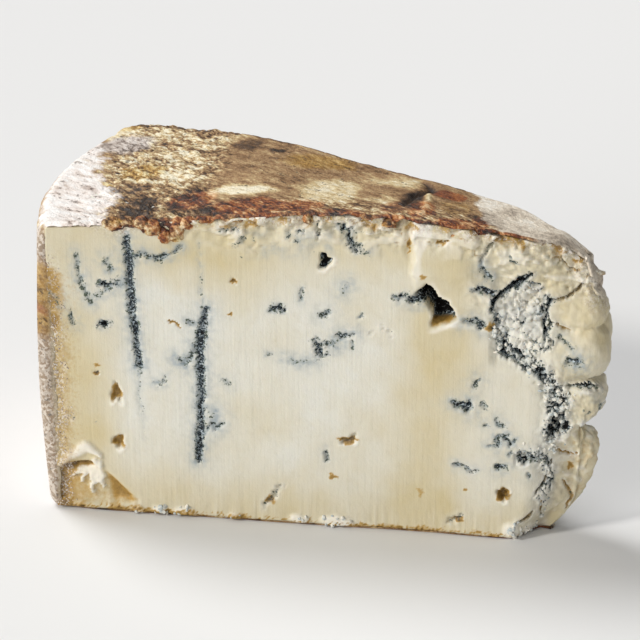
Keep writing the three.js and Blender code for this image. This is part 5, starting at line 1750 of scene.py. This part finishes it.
def rind_material():
    m, add, above, around_zero, patchy = start_material("natural_brushed_cheese_rind")
    place = add("place")
    bloom, cream, sandy = shares_of(add, "crust")
    dark, red, paste_like = shares_of(add, "marks")
    gold, mauve, pale_end = shares_of(add, "tints")
    worn = add("field", settings={"attribute_name": "tints"})["Alpha"]

    # the brush drew the patches out along one direction of the top
    drawn_out = {"Rotation": (0, 0, math.radians(-38)), "Scale": (2.2, 0.8, 1.0)}
    brushed = add("mapping", place, settings={"vector_type": "TEXTURE"}, **drawn_out)
    broad = add("noise", place, per_metre(9), 5.0, 0.55)
    patch = add("noise", brushed, per_metre(3.7), 5.0, 0.6)
    patch_two = add("noise", brushed, per_metre(2.8), 5.0, 0.62)
    strokes = add("noise", brushed, per_metre(0.9), 4.0, 0.6)
    blotch = add("noise", place, per_metre(1.5), 5.0, 0.6)
    grit = add("noise", place, per_metre(0.5), 3.0, 0.6)
    chance = add("channels", add("cells", place, per_metre(0.7)))[0]

    # one level of darkness, mottled most where the rind is worn; the fields move it up or down
    mottle = add("open_plus", around_zero(patch, 1.9), around_zero(strokes, 1.5))
    mottle = add("open_plus", mottle, around_zero(blotch, 0.9))
    swing = add("plus", 0.38, add("times", worn, 0.62))
    level = add("open_plus", 0.53, add("open_times", mottle, swing))
    level = add("open_plus", level, add("times", dark, 0.42))
    level = add("open_less", level, add("times", cream, 0.4))
    level = add("plus", level, around_zero(broad, 0.35))
    brown = [(0.1, "F2E9CF"), (0.3, "D4BE8F"), (0.46, "AB8A62"), (0.62, "856441"), (0.78, "50371F")]
    golden = [(0.1, "EBDCAE"), (0.35, "C9A767"), (0.55, "A27B3B"), (0.75, "6A4A1E"), (0.95, "2C1B0C")]
    rusty = [(0.1, "E2BE90"), (0.35, "BE8149"), (0.52, "945225"), (0.7, "602C14"), (0.92, "24100A")]
    lilac = [(0.2, "E2D9D2"), (0.45, "C3B6AC"), (0.62, "93847A"), (0.8, "50423A")]
    grey_cream = [(0.2, "F6F0E4"), (0.45, "E9DDCA"), (0.65, "CFC1AE"), (0.9, "9A8D7E")]
    white = [(0.25, "FCF9F6"), (0.5, "F0E6DF"), (0.68, "C8B7AC"), (0.9, "7F6E64")]
    leather = add("ramp", level, stops=brown + [(0.95, "24160C")])
    golden = add("ramp", level, stops=golden)
    leather = add("blend", patchy(gold, patch_two, 1.0, 0.35, 2.2), leather, golden)
    rusty = add("ramp", level, stops=rusty)
    leather = add("blend", patchy(red, patch_two, 1.0, 0.35, 2.2), leather, rusty)
    sand = add("blend", above(chance, 0.3, 2.4), "A18F7D", "E0D6CA")
    sandiness = add("times", sandy, add("less", 0.92, add("times", gold, 0.5)))
    leather = add("blend", sandiness, leather, sand)
    lilac = add("ramp", level, stops=lilac)
    leather = add("blend", patchy(mauve, patch, 1.6, 0.4, 2.2), leather, lilac)
    pale_level = add("open_plus", around_zero(broad, 1.4), around_zero(blotch, 1.0))
    grey_cream = add("ramp", add("plus", 0.5, pale_level), stops=grey_cream)
    leather = add("blend", patchy(pale_end, patch_two, 0.9, 0.35, 2.4), leather, grey_cream)
    white_level = add("open_plus", around_zero(patch_two, 1.3), around_zero(broad, 0.8))
    white = add("ramp", add("plus", 0.42, white_level), stops=white)
    leather = add("blend", patchy(bloom, patch, 1.9, 0.4, 2.4), leather, white)

    # small dark pits all over, fewer on the pale end
    pit_level = add("open_plus", around_zero(chance, 0.7), around_zero(patch_two, 2.2))
    fewer = add("less", 0.7, add("times", pale_end, 0.5))
    leather = add("blend", add("times", above(pit_level, 0.34, 6.0), fewer), leather, "3F2C1D")
    skin = add("blend", grit, "C3B591", "DBD2BC")
    leather = add("blend", add("times", paste_like, 0.9), leather, skin)
    colour = add("blend", add("times", above(grit, 0.58, 4.0), 0.35), leather, "EFE6D2")

    greasy = add("times", add("larger", red, dark), 0.3)
    rough = add("less", add("range", blotch, 0.5, 0.85), greasy)
    height = add("plus", add("times", grit, 0.25), add("times", blotch, 0.4))
    height = add("plus", height, add("times", strokes, add("times", worn, 0.5)))
    bump = add("bump", height, 0.9, 0.0013)
    surface = {"Base Color": colour, "Roughness": rough, "Normal": bump, "IOR": 1.45}
    add("surface", add("shader", **surface))
    return m


paste.data.materials.append(paste_material())
rind_finish = rind_material()
rind.data.materials.append(rind_finish)
lumps.data.materials.append(rind_finish)
for piece in (paste, rind, lumps):
    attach(piece, "root")
    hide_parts(NODE)

# %% [markdown]
# ## Loose crumbs, mould grains and sand
#
# Where the tip fell apart, little crumbs of blue-white paste lie in the gaps. The needle channels hold
# loose grains of dark mould, and the crust at the left end is sandy. They are many and lie at random, so
# Geometry Nodes strew them over the paste: dense where its "scatter" attribute is full, sunk in a little,
# each with its own size and turn. The result is realised into one plain mesh for each kind.

# %% A tree that strews grains
FULL_TURN = 6.28
GRAIN_LUMPS = 900.0  # lumps a little over a millimetre across roughen the grains
GRAIN_MARGIN = 2e-5  # metres that stay free inside the solid's box


def strewing_tree(name, channel, facets, material):
    """Geometry Nodes: grains on the faces of the incoming mesh, by one channel of its scatter attribute."""
    tree = bpy.data.node_groups.new(name, "GeometryNodeTree")
    tree.interface.new_socket("Geometry", in_out="INPUT", socket_type="NodeSocketGeometry")
    for label in ("Grains per square metre", "Smallest", "Largest", "Roughened by"):
        tree.interface.new_socket(label, in_out="INPUT", socket_type="NodeSocketFloat")
    tree.interface.new_socket("Seed", in_out="INPUT", socket_type="NodeSocketInt")
    tree.interface.new_socket("Geometry", in_out="OUTPUT", socket_type="NodeSocketGeometry")
    add = partial(add_node, tree)
    given = add("given")

    # where: dense where the field is full
    shares = add("parts", add("named_field", "scatter"))
    density = add("open_times", shares[channel], given["Grains per square metre"])
    spots = add("spots", given["Geometry"], density, given["Seed"])

    # what: a small ball, each with its own size, stretch and turn
    grain = add("ball", 0.5, facets)
    size = add("random_size", given["Smallest"], given["Largest"])
    stretch = add("random_vector", (0.4, 0.4, 0.4), (1.4, 1.4, 1.4))
    turn = add("random_vector", (0, 0, 0), (FULL_TURN, FULL_TURN, FULL_TURN))
    placed = add("realized", add("instances", spots, grain, add("scaled", stretch, size), turn))

    # its surface is pushed about by noise, so that no two are alike
    lumpy = add("noise", add("position"), GRAIN_LUMPS, use="Color")
    push = add("scaled", add("apart", lumpy, (0.5, 0.5, 0.5)), given["Roughened by"])
    add("result", add("finished", add("moved", placed, push), material))
    return tree


def strew(name, source, channel, facets, material, values):
    """Runs the tree on a copy of the source mesh and keeps the grains as a plain mesh."""
    carrier = bpy.data.objects.new(name, source.data.copy())
    bpy.context.collection.objects.link(carrier)
    tree = strewing_tree(name + "_strewing", channel, facets, material)
    modifier = carrier.modifiers.new("strewing", "NODES")
    modifier.node_group = tree
    for item in tree.interface.items_tree:
        if item.in_out == "INPUT" and item.name in values:
            modifier[item.identifier] = values[item.name]
    carrier.update_tag()
    bpy.context.view_layer.update()
    evaluated = carrier.evaluated_get(bpy.context.evaluated_depsgraph_get())
    grains = bpy.data.meshes.new_from_object(evaluated)
    carrier.modifiers.remove(modifier)
    carrier.data = grains
    grains.name = name
    if not grains.materials:
        grains.materials.append(material)
    spots = np.empty(3 * len(grains.vertices))
    grains.vertices.foreach_get("co", spots)
    low, high = np.array(box_low) + GRAIN_MARGIN, np.array(box_high) - GRAIN_MARGIN
    spots = np.clip(spots.reshape(-1, 3), low, high)
    grains.vertices.foreach_set("co", spots.ravel())
    grains.polygons.foreach_set("use_smooth", [False] * len(grains.polygons))
    grains.update()
    print(name, "has", len(grains.polygons), "triangles")
    return carrier


# %% Finishes of the grains


def grain_material(name, dark, light, size_mm, roughness):
    """One dry finish whose shade changes from grain to grain."""
    m, add, _, _, _ = start_material(name)
    shade = add("noise", add("place"), per_metre(size_mm), 2.0)
    shade = add("range", shade, **{"From Min": 0.38, "From Max": 0.62})
    colour = add("blend", shade, dark, light)
    add("surface", add("shader", **{"Base Color": colour, "Roughness": roughness}))
    return m


# dry crumbs of paste, dusted blue-grey
crumb_finish = grain_material("dry_blue_cheese_crumbs", "B9C1C1", "EDE8DB", 1.6, 0.85)
# grains of blue mould, nearly black with a few grey ones
mould_finish = grain_material("dark_blue_mould_grains", "0D1114", "76838A", 0.5, 0.9)
# dry sandy grains of the crust
sand_finish = grain_material("sandy_rind_grains", "A08B78", "F0E9E0", 0.6, 0.85)

# %% Strew them
crumbs = strew("paste_crumbs", paste, 1, 2, crumb_finish, {
    "Grains per square metre": 9.5e5, "Smallest": 0.0005, "Largest": 0.0015,
    "Roughened by": 0.0009, "Seed": 4,
})
mould_grains = strew("mould_grains", paste, 0, 1, mould_finish, {
    "Grains per square metre": 3.2e6, "Smallest": 0.00025, "Largest": 0.0006,
    "Roughened by": 0.0002, "Seed": 5,
})
sand_grains = strew("sand_grains", paste, 2, 1, sand_finish, {
    "Grains per square metre": 2.2e6, "Smallest": 0.0002, "Largest": 0.00055,
    "Roughened by": 0.0003, "Seed": 6,
})
for piece in (crumbs, mould_grains, sand_grains):
    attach(piece, "root")
    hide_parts(NODE)

# %% [markdown]
# ## Floor, light and camera
#
# The wedge stands on a plain pale ground. A soft key light stands to the upper left and in front, so the
# left shoulder is bright and a soft shadow falls to the right. A broader light from high behind brightens
# the ground and throws a faint shadow towards the viewer, a weak low one from the front opens the shade
# under the cut's relief, and the whole sky gives a weak fill.

# %% Floor
floor_mesh = bpy.data.meshes.new("floor")
FLOOR_HALF = 6.0  # metres
corners = [(FLOOR_HALF * x, FLOOR_HALF * y, 0) for x, y in ((-1, -1), (1, -1), (1, 1), (-1, 1))]
floor_mesh.from_pydata(corners, [], [(0, 1, 2, 3)])
floor = bpy.data.objects.new("floor", floor_mesh)
bpy.context.collection.objects.link(floor)
ground, add, _, _, _ = start_material("pale_card")
matt = {"Base Color": "E7E7E7", "Roughness": 0.95, "Specular IOR Level": 0.1}
add("surface", add("shader", **matt))
floor_mesh.materials.append(ground)

# %% Light
world = bpy.data.worlds.new("soft_sky")
world.use_nodes = True
SKY_STRENGTH = 0.18
sky = world.node_tree.nodes["Background"]
sky.inputs[0].default_value = hex_colour("FFFFFF")
sky.inputs[1].default_value = SKY_STRENGTH
bpy.context.scene.world = world


def far_light(name, towards, share, angle, colour="FFFFFF"):
    """A lamp so far away that it lights the whole ground evenly; angle in degrees softens its shadow."""
    lamp = bpy.data.lights.new(name, "SUN")
    direction = Vector(towards).normalized()
    lamp.energy = share * math.pi
    lamp.angle = math.radians(angle)
    lamp.color = hex_colour(colour)[:3]
    holder = bpy.data.objects.new(name, lamp)
    holder.rotation_euler = direction.to_track_quat("Z", "Y").to_euler()
    bpy.context.collection.objects.link(holder)
    return holder


far_light("key", (-0.73, -0.45, 0.52), 0.52, 9, "FFFCF6")
far_light("back", (-0.48, 0.30, 0.82), 0.65, 26)
far_light("low_front", (-0.5, -0.83, 0.22), 0.31, 30)

# %% Camera at the photograph's angle
camera_data = bpy.data.cameras.new("camera")
camera = bpy.data.objects.new("camera", camera_data)
bpy.context.collection.objects.link(camera)
SENSOR_MM, LENS_MM = 36.0, 137.74  # a long lens, as in the photograph
camera_data.sensor_width = SENSOR_MM
camera_data.lens = LENS_MM
camera_data.clip_start, camera_data.clip_end = 0.01, 50
eye = np.array([92.918, -613.620, 341.229]) * MM + shift
aim = np.array([-0.05, 0.0, 64.91]) * MM + shift
camera.location = eye
camera.rotation_euler = Vector(aim - eye).to_track_quat("-Z", "Y").to_euler()
bpy.context.scene.camera = camera
bpy.context.scene.view_settings.view_transform = "Standard"
